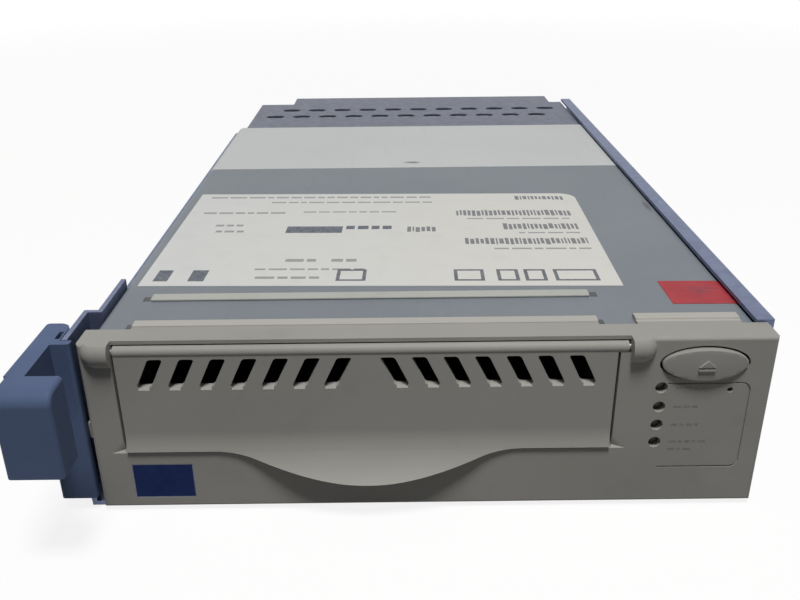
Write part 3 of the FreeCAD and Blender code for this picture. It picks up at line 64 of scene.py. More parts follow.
camera_data = bpy.data.cameras.new("front_camera")
camera_data.sensor_width = SENSOR_W
camera_data.lens = SENSOR_W * FOCAL_SHARE
camera_data.shift_y = VIEW_SHIFT_UP
camera_data.clip_start = CLIP_NEAR
camera_data.clip_end = CLIP_FAR
camera = bpy.data.objects.new("front_camera", camera_data)
bpy.context.scene.collection.objects.link(camera)
turn = (Matrix.Rotation(YAW, 3, "Z") @ Matrix.Rotation(math.radians(90) - PITCH_DOWN, 3, "X")
        @ Matrix.Rotation(ROLL, 3, "Z"))
camera.matrix_world = Matrix.Translation(EYE) @ turn.to_4x4()
bpy.context.scene.camera = camera
bpy.context.scene.view_settings.view_transform = "Standard"


# ---------------------------------------------------------------------
# Floor, lamp and surroundings. A plain pale floor, one soft lamp high up and a little in front,
# so the lid is bright and lips throw a short shadow on the front, and an even pale surround.
# ---------------------------------------------------------------------
def new_material(name):
    """Empty node material with one principled shader, and its node tree."""
    material = bpy.data.materials.new(name)
    material.use_nodes = True
    tree = material.node_tree
    shader = next(node for node in tree.nodes if node.type == "BSDF_PRINCIPLED")
    return material, tree, shader


def add_node(tree, kind, **settings):
    """Node of one kind with its properties set."""
    node = tree.nodes.new(kind)
    for key, value in settings.items():
        setattr(node, key, value)
    return node


def maths(tree, operation, *values):
    """Math node on links and plain numbers, and its result."""
    node = add_node(tree, "ShaderNodeMath", operation=operation)
    for slot, value in zip(node.inputs, values):
        if isinstance(value, (int, float)):
            slot.default_value = value
        else:
            tree.links.new(value, slot)
    return node.outputs[0]


def seen_directly(tree):
    """Value that is one for camera, glossy and transmission rays."""
    path = add_node(tree, "ShaderNodeLightPath")
    first = maths(tree, "MAXIMUM", path.outputs["Is Camera Ray"], path.outputs["Is Glossy Ray"])
    return maths(tree, "MAXIMUM", first, path.outputs["Is Transmission Ray"])


FLOOR_HALF = 6.0
FLOOR_TONE = (0.16, 0.16, 0.16, 1)
GLOW_DISTANCE = (0.25, 1.6)
GLOW_STRENGTH = (0.86, 1.0)


def floor_material():
    """Pale matt floor that looks white to the eye and still takes the drive's shadow. Its glow
    grows to full white far away, so that no horizon shows."""
    material, tree, shader = new_material("floor_paper")
    shader.inputs["Base Color"].default_value = FLOOR_TONE
    shader.inputs["Roughness"].default_value = 0.9
    shader.inputs["Specular IOR Level"].default_value = 0.1
    grain = add_node(tree, "ShaderNodeTexNoise")
    grain.inputs["Scale"].default_value = 900
    bump = add_node(tree, "ShaderNodeBump")
    bump.inputs["Strength"].default_value = 0.05
    tree.links.new(grain.outputs["Fac"], bump.inputs["Height"])
    tree.links.new(bump.outputs["Normal"], shader.inputs["Normal"])
    place = add_node(tree, "ShaderNodeTexCoord")
    away = add_node(tree, "ShaderNodeVectorMath", operation="LENGTH")
    tree.links.new(place.outputs["Object"], away.inputs[0])
    spread = add_node(tree, "ShaderNodeMapRange", interpolation_type="SMOOTHSTEP")
    spread.inputs["From Min"].default_value = GLOW_DISTANCE[0]
    spread.inputs["From Max"].default_value = GLOW_DISTANCE[1]
    spread.inputs["To Min"].default_value = GLOW_STRENGTH[0]
    spread.inputs["To Max"].default_value = GLOW_STRENGTH[1]
    tree.links.new(away.outputs["Value"], spread.inputs["Value"])
    glow = add_node(tree, "ShaderNodeEmission")
    strength = maths(tree, "MULTIPLY", seen_directly(tree), spread.outputs["Result"])
    tree.links.new(strength, glow.inputs["Strength"])
    total = add_node(tree, "ShaderNodeAddShader")
    output = next(node for node in tree.nodes if node.type == "OUTPUT_MATERIAL")
    tree.links.new(shader.outputs[0], total.inputs[0])
    tree.links.new(glow.outputs[0], total.inputs[1])
    tree.links.new(total.outputs[0], output.inputs["Surface"])
    return material


floor_mesh = bpy.data.meshes.new("floor")
floor_corners = [(x * FLOOR_HALF, y * FLOOR_HALF, 0)
                 for x, y in ((-1, -1), (1, -1), (1, 1), (-1, 1))]
floor_mesh.from_pydata(floor_corners, [], [(0, 1, 2, 3)])
floor_mesh.materials.append(floor_material())
floor = bpy.data.objects.new("floor", floor_mesh)
bpy.context.scene.collection.objects.link(floor)

LAMP_PLACE = Vector((0.02, -0.475, 1.13))
LAMP_AIM = Vector((0, -0.04, 0.03))
LAMP_SIZE = 0.26
LAMP_WATTS = 10.1
LAMP_TINT = (1.0, 0.99, 0.97)
lamp_data = bpy.data.lights.new("lamp_high_front", "AREA")
lamp_data.shape = "SQUARE"
lamp_data.size = LAMP_SIZE
lamp_data.energy = LAMP_WATTS
lamp_data.color = LAMP_TINT
lamp = bpy.data.objects.new("lamp_high_front", lamp_data)
lamp.location = LAMP_PLACE
lamp.rotation_euler = (LAMP_AIM - LAMP_PLACE).to_track_quat("-Z", "Y").to_euler()
bpy.context.scene.collection.objects.link(lamp)

SURROUND_TONE = (0.060, 0.061, 0.064, 1)
world = bpy.data.worlds.new("surround")
world.use_nodes = True
bpy.context.scene.world = world
world_tree = world.node_tree
backdrop = next(node for node in world_tree.nodes if node.type == "BACKGROUND")
backdrop.inputs["Color"].default_value = SURROUND_TONE
white = add_node(world_tree, "ShaderNodeBackground")
white.inputs["Color"].default_value = (1, 1, 1, 1)
choose = add_node(world_tree, "ShaderNodeMixShader")
world_out = next(node for node in world_tree.nodes if node.type == "OUTPUT_WORLD")
world_tree.links.new(seen_directly(world_tree), choose.inputs[0])
world_tree.links.new(backdrop.outputs[0], choose.inputs[1])
world_tree.links.new(white.outputs[0], choose.inputs[2])
world_tree.links.new(choose.outputs[0], world_out.inputs["Surface"])


# ---------------------------------------------------------------------
# Front bezel. One injection-moulded piece in warm light grey plastic with a fine spark-eroded
# texture. It clips to the front of the drive and laps two thin tabs over the lid.
# ---------------------------------------------------------------------
def colour_ramp(tree, source, low, high, start=0.35, stop=0.65):
    """Blend between two colours as a texture value runs from start to stop."""
    ramp = add_node(tree, "ShaderNodeValToRGB")
    ramp.color_ramp.elements[0].position = start
    ramp.color_ramp.elements[0].color = (*low, 1)
    ramp.color_ramp.elements[1].position = stop
    ramp.color_ramp.elements[1].color = (*high, 1)
    tree.links.new(source, ramp.inputs["Fac"])
    return ramp.outputs["Color"]


def blend_colours(tree, kind, factor, first, second):
    """Two colours mixed in one of the usual ways, by a number or a link."""
    mix = add_node(tree, "ShaderNodeMix", data_type="RGBA", blend_type=kind)
    if isinstance(factor, (int, float)):
        mix.inputs["Factor"].default_value = factor
    else:
        tree.links.new(factor, mix.inputs["Factor"])
    for slot, colour in (("A", first), ("B", second)):
        if isinstance(colour, tuple):
            mix.inputs[slot].default_value = (*colour, 1)
        else:
            tree.links.new(colour, mix.inputs[slot])
    return mix.outputs["Result"]


def own_place(tree, stretch=(1, 1, 1)):
    """The piece's own coordinates in metres, stretched along its axes."""
    place = add_node(tree, "ShaderNodeTexCoord")
    mapping = add_node(tree, "ShaderNodeMapping")
    mapping.inputs["Scale"].default_value = stretch
    tree.links.new(place.outputs["Object"], mapping.inputs["Vector"])
    return mapping.outputs["Vector"]


def own_axes(tree):
    """The piece's own coordinates in metres, one output each for X, Y and Z."""
    split = add_node(tree, "ShaderNodeSeparateXYZ")
    tree.links.new(own_place(tree), split.inputs[0])
    return split.outputs


def noise(tree, scale, detail=3.0, roughness=0.55, stretch=(1, 1, 1)):
    """Noise in the piece's own coordinates."""
    texture = add_node(tree, "ShaderNodeTexNoise")
    texture.inputs["Scale"].default_value = scale
    texture.inputs["Detail"].default_value = detail
    texture.inputs["Roughness"].default_value = roughness
    tree.links.new(own_place(tree, stretch), texture.inputs["Vector"])
    return texture.outputs["Fac"]


def add_bump(tree, shader, source, strength, distance):
    """Surface relief from a texture value."""
    bump = add_node(tree, "ShaderNodeBump")
    bump.inputs["Strength"].default_value = strength
    bump.inputs["Distance"].default_value = distance
    tree.links.new(source, bump.inputs["Height"])
    tree.links.new(bump.outputs["Normal"], shader.inputs["Normal"])


def roughness_from(tree, shader, source, low, high):
    """Roughness that wanders between two values."""
    spread = add_node(tree, "ShaderNodeMapRange")
    spread.inputs["To Min"].default_value = low
    spread.inputs["To Max"].default_value = high
    tree.links.new(source, spread.inputs["Value"])
    tree.links.new(spread.outputs["Result"], shader.inputs["Roughness"])


GRAIN_DEPTH = 0.08 * MM
# How much paler the painted highlight makes the plastic's light tone.
HIGHLIGHT_LIFT = 1.27


def moulded_plastic(name, dark, light, grain=2600.0, relief=0.12, rough=(0.46, 0.62), gloss=0.2,
                    highlight_from=None):
    """Textured moulded plastic: slow shade drift, faint smudges from hands and a fine grain.
    Past highlight_from, a distance along Y, it is painted paler: a painted highlight for the light
    that the bezel's thin tabs catch."""
    material, tree, shader = new_material(name)
    drift = colour_ramp(tree, noise(tree, scale=28.0), dark, light)
    patches = noise(tree, scale=75.0, detail=5.0, roughness=0.65)
    smudge = colour_ramp(tree, patches, low=(0.90,) * 3, high=(1, 1, 1), start=0.32, stop=0.46)
    tone = blend_colours(tree, "MULTIPLY", factor=0.5, first=drift, second=smudge)
    # Painted highlight: past the given distance along Y the tone is lifted paler than the
    # plastic's own, for the light that falls on the tabs.
    if highlight_from is not None:
        painted_highlight = maths(tree, "GREATER_THAN", own_axes(tree)["Y"], highlight_from)
        tone = blend_colours(tree, "MIX", painted_highlight, tone, tuple(HIGHLIGHT_LIFT * c for c in light))
    tree.links.new(tone, shader.inputs["Base Color"])
    roughness_from(tree, shader, noise(tree, scale=60.0), *rough)
    add_bump(tree, shader, noise(tree, grain, detail=2.0), relief, GRAIN_DEPTH)
    shader.inputs["Specular IOR Level"].default_value = gloss
    return material


WELD_REACH = 0.002 * MM
FLAT_WITHIN = math.radians(0.05)
ARRIS_FROM = math.radians(32.0)
ARRIS_STEPS = 2
FACE_WEIGHT = 100


def soften(piece, width, flat=False):
    """Small rounded arrises on a piece, as a press tool or mould leaves them. Faces that lie in
    one plane are merged first, and a flat piece keeps its faces' own shading."""
    weld = piece.modifiers.new("join_faces", "WELD")
    weld.merge_threshold = WELD_REACH
    planar = piece.modifiers.new("merge_planar", "DECIMATE")
    planar.decimate_type = "DISSOLVE"
    planar.angle_limit = FLAT_WITHIN
    bevel = piece.modifiers.new("arris", "BEVEL")
    bevel.width = width
    bevel.segments = ARRIS_STEPS
    bevel.limit_method = "ANGLE"
    bevel.angle_limit = ARRIS_FROM
    if flat:
        return
    shade = piece.modifiers.new("shade", "WEIGHTED_NORMAL")
    shade.weight = FACE_WEIGHT
    for polygon in piece.data.polygons:
        polygon.use_smooth = True


def finish_node(node, material, arris=0.0, flat=False):
    """Give a CAD piece its material and, where asked, its rounded arrises."""
    piece = NODES[node]
    piece.data.materials.clear()
    piece.data.materials.append(material)
    if arris:
        soften(piece, arris, flat=flat)


# Behind this line the bezel's tone is painted paler, a painted highlight on the tabs that lap over
# the lid.
TAB_LIP_Y = FACE_Y + 8.0 * MM
bezel_plastic = moulded_plastic("bezel_plastic", dark=(0.368, 0.360, 0.334),
                                light=(0.398, 0.390, 0.362), highlight_from=TAB_LIP_Y)
finish_node("front_bezel", bezel_plastic, arris=0.25 * MM)


# ---------------------------------------------------------------------
# Lamp legends. Short plain dashes in grey ink beside the four lamps, screen-printed on the
# bezel's face and worn a little thin.
# ---------------------------------------------------------------------
def add_block(shape, low, high):
    """Box between two corners, added to a mesh being built."""
    corners = [shape.verts.new((x, y, z)) for x in (low[0], high[0])
               for y in (low[1], high[1]) for z in (low[2], high[2])]
    for face in ((0, 1, 3, 2), (4, 6, 7, 5), (0, 4, 5, 1), (2, 3, 7, 6),
                 (0, 2, 6, 4), (1, 5, 7, 3)):
        shape.faces.new([corners[i] for i in face])


def to_object(name, shape):
    """Turn a finished mesh into an object in the scene."""
    bmesh.ops.recalc_face_normals(shape, faces=shape.faces)
    mesh = bpy.data.meshes.new(name)
    shape.to_mesh(mesh)
    shape.free()
    thing = bpy.data.objects.new(name, mesh)
    bpy.context.scene.collection.objects.link(thing)
    return thing


def built_piece(name, shape, material, body, arris=0.0):
    """Turn a finished mesh into a piece that rides on a body, with its material and any rounded
    arrises.
    """
    piece = to_object(name, shape)
    piece.data.materials.append(material)
    if arris:
        soften(piece, arris)
    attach(piece, body)
    return piece


GROUND_TONE = 0.45
WORN_SHARE = 0.5


def printed_ink(name, tone, worn=0.5):
    """Screen-printed ink, a little patchy, so that the ground shows through in places."""
    material, tree, shader = new_material(name)
    paler = tuple(c + worn * (GROUND_TONE - c) * WORN_SHARE for c in tone)
    patch = noise(tree, scale=900.0, detail=4.0, roughness=0.7)
    tree.links.new(colour_ramp(tree, patch, paler, tone, start=0.35, stop=0.6),
                   shader.inputs["Base Color"])
    roughness_from(tree, shader, patch, low=0.5, high=0.7)
    return material


def dashes(start, stop, longest, shortest, gap, draw):
    """Run of dash ends from start to stop, with lengths drawn at random."""
    x = start
    while x < stop - shortest:
        length = min(draw.uniform(shortest, longest), stop - x)
        yield x, x + length
        x += length + gap


LEGEND_START = 53.4
LEGEND_H = 0.62
LEGEND_PROUD = 0.015 * MM
LEGEND_SINK = 0.02 * MM
LEGEND_ROWS = ((30.0, 3.2), (25.2, 6.4), (20.6, 6.0), (16.2, 8.2), (14.2, 5.6))
legend_draw = random.Random(11)
legends = bmesh.new()
for row_z, row_w in LEGEND_ROWS:
    row_end = LEGEND_START + row_w
    for x0, x1 in dashes(LEGEND_START, row_end, longest=1.9, shortest=0.8, gap=0.45,
                         draw=legend_draw):
        low_z = BEZEL_Z + row_z * MM - LEGEND_H / 2 * MM
        low = (x0 * MM, FACE_Y - LEGEND_PROUD, low_z)
        high = (x1 * MM, FACE_Y + LEGEND_SINK, low_z + LEGEND_H * MM)
        add_block(legends, low, high)
legend_ink = printed_ink("legend_ink", tone=(0.205, 0.198, 0.186))
built_piece("lamp_legends", legends, legend_ink, "carrier")

# ---------------------------------------------------------------------
# Plain inlay in the bezel's lower left corner. A thin printed plate, blue with a hair-fine pale
# edge, glued into its own shallow recess.
# ---------------------------------------------------------------------
badge_ink, badge_tree, badge_shader = new_material("inlay_blue")
badge_drift = noise(badge_tree, scale=320.0)
badge_tone = colour_ramp(badge_tree, badge_drift, low=(0.009, 0.022, 0.098),
                         high=(0.014, 0.031, 0.125))
badge_tree.links.new(badge_tone, badge_shader.inputs["Base Color"])
badge_shader.inputs["Roughness"].default_value = 0.5
badge_shader.inputs["Specular IOR Level"].default_value = 0.1
add_bump(badge_tree, badge_shader, noise(badge_tree, scale=240.0), strength=0.04,
         distance=0.1 * MM)
finish_node("badge_plate", badge_ink, arris=0.05 * MM)

BADGE_EDGE = 0.22 * MM
BADGE_EDGE_PROUD = 0.01 * MM
BADGE_EDGE_IN = 0.05 * MM
badge_low, badge_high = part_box("badge_plate")
edge_strip = bmesh.new()
badge_y = (badge_low.y - BADGE_EDGE_PROUD, badge_low.y + BADGE_EDGE_IN)
inner_z = (badge_low.z + BADGE_EDGE, badge_high.z - BADGE_EDGE)
for z0, z1 in ((badge_low.z, inner_z[0]), (inner_z[1], badge_high.z)):
    add_block(edge_strip, (badge_low.x, badge_y[0], z0), (badge_high.x, badge_y[1], z1))
for x0, x1 in ((badge_low.x, badge_low.x + BADGE_EDGE), (badge_high.x - BADGE_EDGE, badge_high.x)):
    add_block(edge_strip, (x0, badge_y[0], inner_z[0]), (x1, badge_y[1], inner_z[1]))
edge_ink = printed_ink("inlay_edge_ink", tone=(0.21, 0.24, 0.33))
built_piece("inlay_edge", edge_strip, edge_ink, "carrier")

# ---------------------------------------------------------------------
# Tape door. The same grey plastic as the bezel, moulded with slanted vents and a flared lip. It
# hangs on two steel stubs in the bezel's bosses.
# ---------------------------------------------------------------------
door_plastic = moulded_plastic("door_plastic", dark=(0.372, 0.366, 0.340),
                               light=(0.400, 0.394, 0.368))
finish_node("tape_door", door_plastic, arris=0.2 * MM)


MARK_SHADE = 0.86


def bright_steel(name, tone=(0.56, 0.57, 0.59), rough=(0.22, 0.38)):
    """Bright plated steel with fine turning marks."""
    material, tree, shader = new_material(name)
    marks = noise(tree, scale=900.0, detail=3.0, roughness=0.6, stretch=(1, 1, 12))
    darker = tuple(MARK_SHADE * c for c in tone)
    tree.links.new(colour_ramp(tree, marks, darker, tone), shader.inputs["Base Color"])
    shader.inputs["Metallic"].default_value = 1.0
    roughness_from(tree, shader, marks, *rough)
    return material


pin_steel = bright_steel("pin_steel")
for node in ("door_pin_left", "door_pin_right"):
    finish_node(node, pin_steel)

# ---------------------------------------------------------------------
# Eject key. A crowned oval key in the bezel's plastic with a raised triangle over a bar, the
# common eject sign, moulded into its middle. It rides on its own switch.
# ---------------------------------------------------------------------
# Painted shade: the key's plastic is set a little darker than the bezel's, so that its crowned
# face, which turns up to the lamp, stays at the bezel's tone.
shaded_key_plastic = moulded_plastic("shaded_key_plastic", dark=(0.352, 0.346, 0.324),
                              light=(0.380, 0.374, 0.352), relief=0.06)
finish_node("eject_button", shaded_key_plastic, arris=0.15 * MM)
KEY_LOW, KEY_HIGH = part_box("eject_button")
KEY_X = (KEY_LOW.x + KEY_HIGH.x) / 2
KEY_Z = BEZEL_Z + 35.9 * MM
KEY_HALF_W = 9.15 * MM
KEY_CROWN_H = 1.0 * MM
KEY_CROWN_R = KEY_HALF_W ** 2 / (2 * KEY_CROWN_H)
SIGN_HALF = 1.8 * MM
SIGN_ROOT = 0.25 * MM
SIGN_PROUD = 0.42 * MM
SIGN_ARRIS = 0.08 * MM
TRIANGLE_Z = (-0.2 * MM, 1.4 * MM)
BAR_Z = (-1.2 * MM, -0.65 * MM)


def add_skin(shape, rings):
    """Closed skin over a row of rings with as many corners each, added to a mesh being built."""
    shape.faces.new(list(reversed(rings[0])))
    shape.faces.new(rings[-1])
    for near, far in zip(rings, rings[1:]):
        for i in range(len(near)):
            j = (i + 1) % len(near)
            shape.faces.new((near[i], near[j], far[j], far[i]))


def raised_sign(name, outline):
    """Low raised shape on the key's crown, from an outline in X and Z about its middle."""
    shape = bmesh.new()
    rings = []
    for lift in (-SIGN_ROOT, SIGN_PROUD):
        ring = []
        for x, z in outline:
            sag = (x * x + z * z) / (2 * KEY_CROWN_R)
            ring.append(shape.verts.new((KEY_X + x, KEY_LOW.y + sag - lift, KEY_Z + z)))
        rings.append(ring)
    add_skin(shape, rings)
    built_piece(name, shape, shaded_key_plastic, "eject_key", SIGN_ARRIS)


triangle = [(-SIGN_HALF, TRIANGLE_Z[0]), (SIGN_HALF, TRIANGLE_Z[0]), (0, TRIANGLE_Z[1])]
bar = [(-SIGN_HALF, BAR_Z[0]), (SIGN_HALF, BAR_Z[0]),
       (SIGN_HALF, BAR_Z[1]), (-SIGN_HALF, BAR_Z[1])]
raised_sign("eject_triangle", triangle)
raised_sign("eject_bar", bar)

# ---------------------------------------------------------------------
# Lamps, reset pin and the parts behind them. Smoky light pipes sit a little inside the bezel's
# holes, and a green board behind carries the switches and the lamp chips.
# ---------------------------------------------------------------------
black_plastic = moulded_plastic("black_plastic", dark=(0.018, 0.018, 0.02),
                                light=(0.03, 0.03, 0.033), grain=1800.0, relief=0.1)
for node in ("eject_switch_plunger", "eject_switch", "reset_plunger", "reset_switch",
             "board_chips", "data_socket", "power_socket"):
    finish_node(node, black_plastic)

pipe_plastic, pipe_tree, pipe_shader = new_material("smoky_pipe")
pipe_cloud = noise(pipe_tree, scale=500.0)
pipe_tone = colour_ramp(pipe_tree, pipe_cloud, low=(0.045, 0.050, 0.042),
                        high=(0.070, 0.078, 0.066))
pipe_tree.links.new(pipe_tone, pipe_shader.inputs["Base Color"])
pipe_shader.inputs["Roughness"].default_value = 0.25
for node in ("light_pipes", "status_leds"):
    finish_node(node, pipe_plastic, arris=0.1 * MM)


def board_green():
    """Solder mask over copper: green with faint lighter tracks."""
    material, tree, shader = new_material("board_green")
    tracks = add_node(tree, "ShaderNodeTexBrick")
    tracks.inputs["Scale"].default_value = 180.0
    tracks.inputs["Mortar Size"].default_value = 0.03
    tracks.inputs["Color1"].default_value = (0.012, 0.085, 0.035, 1)
    tracks.inputs["Color2"].default_value = (0.014, 0.095, 0.040, 1)
    tracks.inputs["Mortar"].default_value = (0.03, 0.16, 0.07, 1)
    tree.links.new(own_place(tree), tracks.inputs["Vector"])
    tree.links.new(tracks.outputs["Color"], shader.inputs["Base Color"])
    shader.inputs["Roughness"].default_value = 0.4
    return material


green_board = board_green()
for node in ("front_panel_board", "main_board", "adapter_board"):
    finish_node(node, green_board)
for node in ("board_screws", "board_standoffs", "roller_posts"):
    finish_node(node, pin_steel)


# ---------------------------------------------------------------------
# Drive body. A folded zinc-plated base, a front lid in satin blue-grey sheet and a pale rear
# lid, both bent down over the sides and held there.
# ---------------------------------------------------------------------
SPOT_CORE = 0.7


def spot(tree, centre, radius):
    """Mask that is one inside a round spot on an upright wall, and fades out at its edge."""
    place = own_axes(tree)
    run = maths(tree, "POWER", maths(tree, "SUBTRACT", place["Y"], centre[0]), 2)
    rise = maths(tree, "POWER", maths(tree, "SUBTRACT", place["Z"], centre[1]), 2)
    away = maths(tree, "SQRT", maths(tree, "ADD", run, rise))
    fade = add_node(tree, "ShaderNodeMapRange")
    fade.inputs["From Min"].default_value = radius
    fade.inputs["From Max"].default_value = radius * SPOT_CORE
    tree.links.new(away, fade.inputs["Value"])
    return fade.outputs["Result"]


WELD_HALO_R = 3.0 * MM
WELD_DENT_R = 1.9 * MM
WELD_RING_SHARE = 0.6
WELD_RING_SHADE = 0.5
WELD_DENT_DEPTH = 2.0
ZINC_SHINE = 0.6


def zinc_sheet(name, low, high, spangle=260.0, welds=()):
    """Galvanised sheet: zinc crystals, faint rolling lines, a bluish passivation, spot welds."""
    material, tree, shader = new_material(name)
    crystals = add_node(tree, "ShaderNodeTexVoronoi")
    crystals.inputs["Scale"].default_value = spangle
    tree.links.new(own_place(tree), crystals.inputs["Vector"])
    shade = colour_ramp(tree, crystals.outputs["Color"], low, high, start=0.2, stop=0.9)
    lines = noise(tree, scale=140.0, detail=4.0, roughness=0.65, stretch=(1, 8, 1))
    cloud = colour_ramp(tree, lines, low=(0.82, 0.82, 0.84), high=(1, 1, 1), start=0.3, stop=0.7)
    tone = blend_colours(tree, "MULTIPLY", factor=1.0, first=shade, second=cloud)
    relief = lines
    for centre in welds:
        halo = spot(tree, centre, WELD_HALO_R)
        dent = spot(tree, centre, WELD_DENT_R)
        ring = maths(tree, "MULTIPLY", maths(tree, "SUBTRACT", halo, dent), WELD_RING_SHARE)
        tone = blend_colours(tree, "MIX", ring, tone, tuple(WELD_RING_SHADE * c for c in low))
        relief = maths(tree, "SUBTRACT", relief, maths(tree, "MULTIPLY", dent, WELD_DENT_DEPTH))
    tree.links.new(tone, shader.inputs["Base Color"])
    shader.inputs["Metallic"].default_value = ZINC_SHINE
    roughness_from(tree, shader, lines, low=0.38, high=0.55)
    add_bump(tree, shader, relief, strength=0.25, distance=0.12 * MM)
    return material


STREAK_RAGGED = 0.9
STREAK_REACH = 1.35
STREAK_SOFT = 0.2


def streak(tree, centre, half_w, half_l):
    """Mask that is one on a short streak along the drive, and fades out round it."""
    place = own_axes(tree)
    across = maths(tree, "DIVIDE", maths(tree, "SUBTRACT", place["X"], centre[0]), half_w)
    run = maths(tree, "DIVIDE", maths(tree, "SUBTRACT", place["Y"], centre[1]), half_l)
    far = maths(tree, "ADD", maths(tree, "POWER", across, 2), maths(tree, "POWER", run, 2))
    ragged = maths(tree, "MULTIPLY", noise(tree, scale=700.0, detail=3.0), STREAK_RAGGED)
    inside = maths(tree, "SUBTRACT", STREAK_REACH, maths(tree, "ADD", far, ragged))
    return maths(tree, "SMOOTH_MIN", maths(tree, "MAXIMUM", inside, 0), 1, STREAK_SOFT)


STREAK_DARK = (0.10, 0.095, 0.11)
SCUFF_SHADE = 0.18


def lid_paint(name, low, high, fleck, dark_streaks):
    """Satin sheet finish with slow blotches, a rolling grain, fine scuffs and short dark streaks.
    """
    material, tree, shader = new_material(name)
    blotch = noise(tree, scale=22.0, detail=5.0, roughness=0.6)
    shade = colour_ramp(tree, blotch, low, high, start=0.3, stop=0.7)
    scuff = noise(tree, scale=300.0, detail=6.0, roughness=0.75, stretch=(1, 0.06, 1))
    marks = colour_ramp(tree, scuff, low=(1 - SCUFF_SHADE * fleck,) * 3, high=(1, 1, 1),
                        start=0.30, stop=0.42)
    tone = blend_colours(tree, "MULTIPLY", factor=1.0, first=shade, second=marks)
    for centre, half_w, half_l in dark_streaks:
        # Each listed streak blends the tone towards a flat dark grey.
        worn = streak(tree, centre, half_w, half_l)
        tone = blend_colours(tree, "MIX", worn, tone, STREAK_DARK)
    tree.links.new(tone, shader.inputs["Base Color"])
    shader.inputs["Specular IOR Level"].default_value = 0.3
    roughness_from(tree, shader, noise(tree, scale=90.0), low=0.45, high=0.6)
    grain = noise(tree, scale=1500.0, detail=2.0)
    add_bump(tree, shader, grain, strength=0.05, distance=0.05 * MM)
    return material


base_zinc = zinc_sheet("base_zinc", low=(0.24, 0.27, 0.33), high=(0.36, 0.39, 0.46))
finish_node("base_chassis", base_zinc, arris=0.15 * MM, flat=True)
# Short dark streaks on the grey lid near its right edge, beside the rail's lip.
GREY_LID_STREAKS = (((69.9 * MM, FACE_Y + 88.5 * MM), 0.9 * MM, 6.0 * MM),
             ((71.0 * MM, FACE_Y + 19.5 * MM), 1.2 * MM, 1.8 * MM))
lid_grey = lid_paint("lid_grey", low=(0.196, 0.222, 0.250), high=(0.232, 0.258, 0.288), fleck=0.5,
                     dark_streaks=GREY_LID_STREAKS)
finish_node("top_cover", lid_grey, arris=0.15 * MM)
# A short dark streak on the pale rear lid.
PALE_LID_STREAKS = (((-0.7 * MM, FACE_Y + 140.6 * MM), 3.6 * MM, 1.6 * MM),)
lid_pale = lid_paint("lid_pale", low=(0.632, 0.648, 0.652), high=(0.672, 0.688, 0.692), fleck=0.25,
                     dark_streaks=PALE_LID_STREAKS)
finish_node("rear_cover", lid_pale, arris=0.15 * MM)

# ---------------------------------------------------------------------
# Lid strip. A thin moulded rib in the bezel's plastic, pressed over the lid's cross rib, which
# stops the label's edge and keeps the lid from drumming.
# ---------------------------------------------------------------------
LID_Z = BEZEL_Z + 41.3 * MM
STRIP_X = (-64.15, 38.65)
STRIP_Y = (22.55, 25.75)
STRIP_H = 0.72
strip = bmesh.new()
strip_low = (STRIP_X[0] * MM, FACE_Y + STRIP_Y[0] * MM, LID_Z)
strip_high = (STRIP_X[1] * MM, FACE_Y + STRIP_Y[1] * MM, LID_Z + STRIP_H * MM)
add_block(strip, strip_low, strip_high)
strip_plastic = moulded_plastic("strip_plastic", dark=(0.500, 0.508, 0.474),
                                light=(0.535, 0.543, 0.508), grain=2200.0, relief=0.08)
built_piece("lid_strip", strip, strip_plastic, "carrier", arris=0.3 * MM)

# ---------------------------------------------------------------------
# Lid end shadows. Painted shadow: thin dark sheets laid flat on the lid at the ends of the strip
# and of the bezel's long tab, where these raised parts throw a small shadow on the lid.
# ---------------------------------------------------------------------
# Painted shadow: each place is a dark patch where the raised strip or tab shades the lid at its
# end.
END_SHADOW_PLACES = ((-66.1, -64.4, 22.8, 25.3), (38.9, 40.6, 22.8, 25.3), (-66.0, -64.5, 8.3, 10.6),
             (37.6, 39.0, 8.3, 10.6))
SHADOW_SHEET_HALF_T = 0.02 * MM
end_shadows = bmesh.new()
for x0, x1, y0, y1 in END_SHADOW_PLACES:
    low = (x0 * MM, FACE_Y + y0 * MM, LID_Z - SHADOW_SHEET_HALF_T)
    add_block(end_shadows, low, (x1 * MM, FACE_Y + y1 * MM, LID_Z + SHADOW_SHEET_HALF_T))
end_shadow_ink = printed_ink("painted_end_shadow", tone=(0.060, 0.064, 0.070), worn=0.15)
built_piece("lid_end_shadows", end_shadows, end_shadow_ink, "carrier")


# ---------------------------------------------------------------------
# Paper label. A large off-white self-adhesive sheet on the front lid with one rounded corner,
# a little yellowed to the right, printed with plain rows, ruled bands and empty boxes.
# ---------------------------------------------------------------------
YELLOWING_PER_METRE = 8.0
YELLOWING_START = 0.5
YELLOWING_WANDER = 0.5


def paper(name, clean, aged):
    """Matt printed paper, yellowing slowly across the sheet, with a soft fibre grain."""
    material, tree, shader = new_material(name)
    run = maths(tree, "MULTIPLY", own_axes(tree)["X"], YELLOWING_PER_METRE)
    across = maths(tree, "ADD", run, YELLOWING_START)
    cloud = maths(tree, "MULTIPLY", noise(tree, scale=30.0, detail=4.0), YELLOWING_WANDER)
    wander = maths(tree, "ADD", across, cloud)
    tone = colour_ramp(tree, wander, clean, aged, start=0.2, stop=1.1)
    patches = noise(tree, scale=120.0, detail=5.0, roughness=0.7)
    stain = colour_ramp(tree, patches, low=(0.93, 0.93, 0.92), high=(1, 1, 1), start=0.3, stop=0.5)
    stained = blend_colours(tree, "MULTIPLY", factor=0.6, first=tone, second=stain)
    tree.links.new(stained, shader.inputs["Base Color"])
    roughness_from(tree, shader, noise(tree, scale=200.0), low=0.6, high=0.75)
    add_bump(tree, shader, noise(tree, scale=60.0, detail=3.0), strength=0.10, distance=0.4 * MM)
    return material


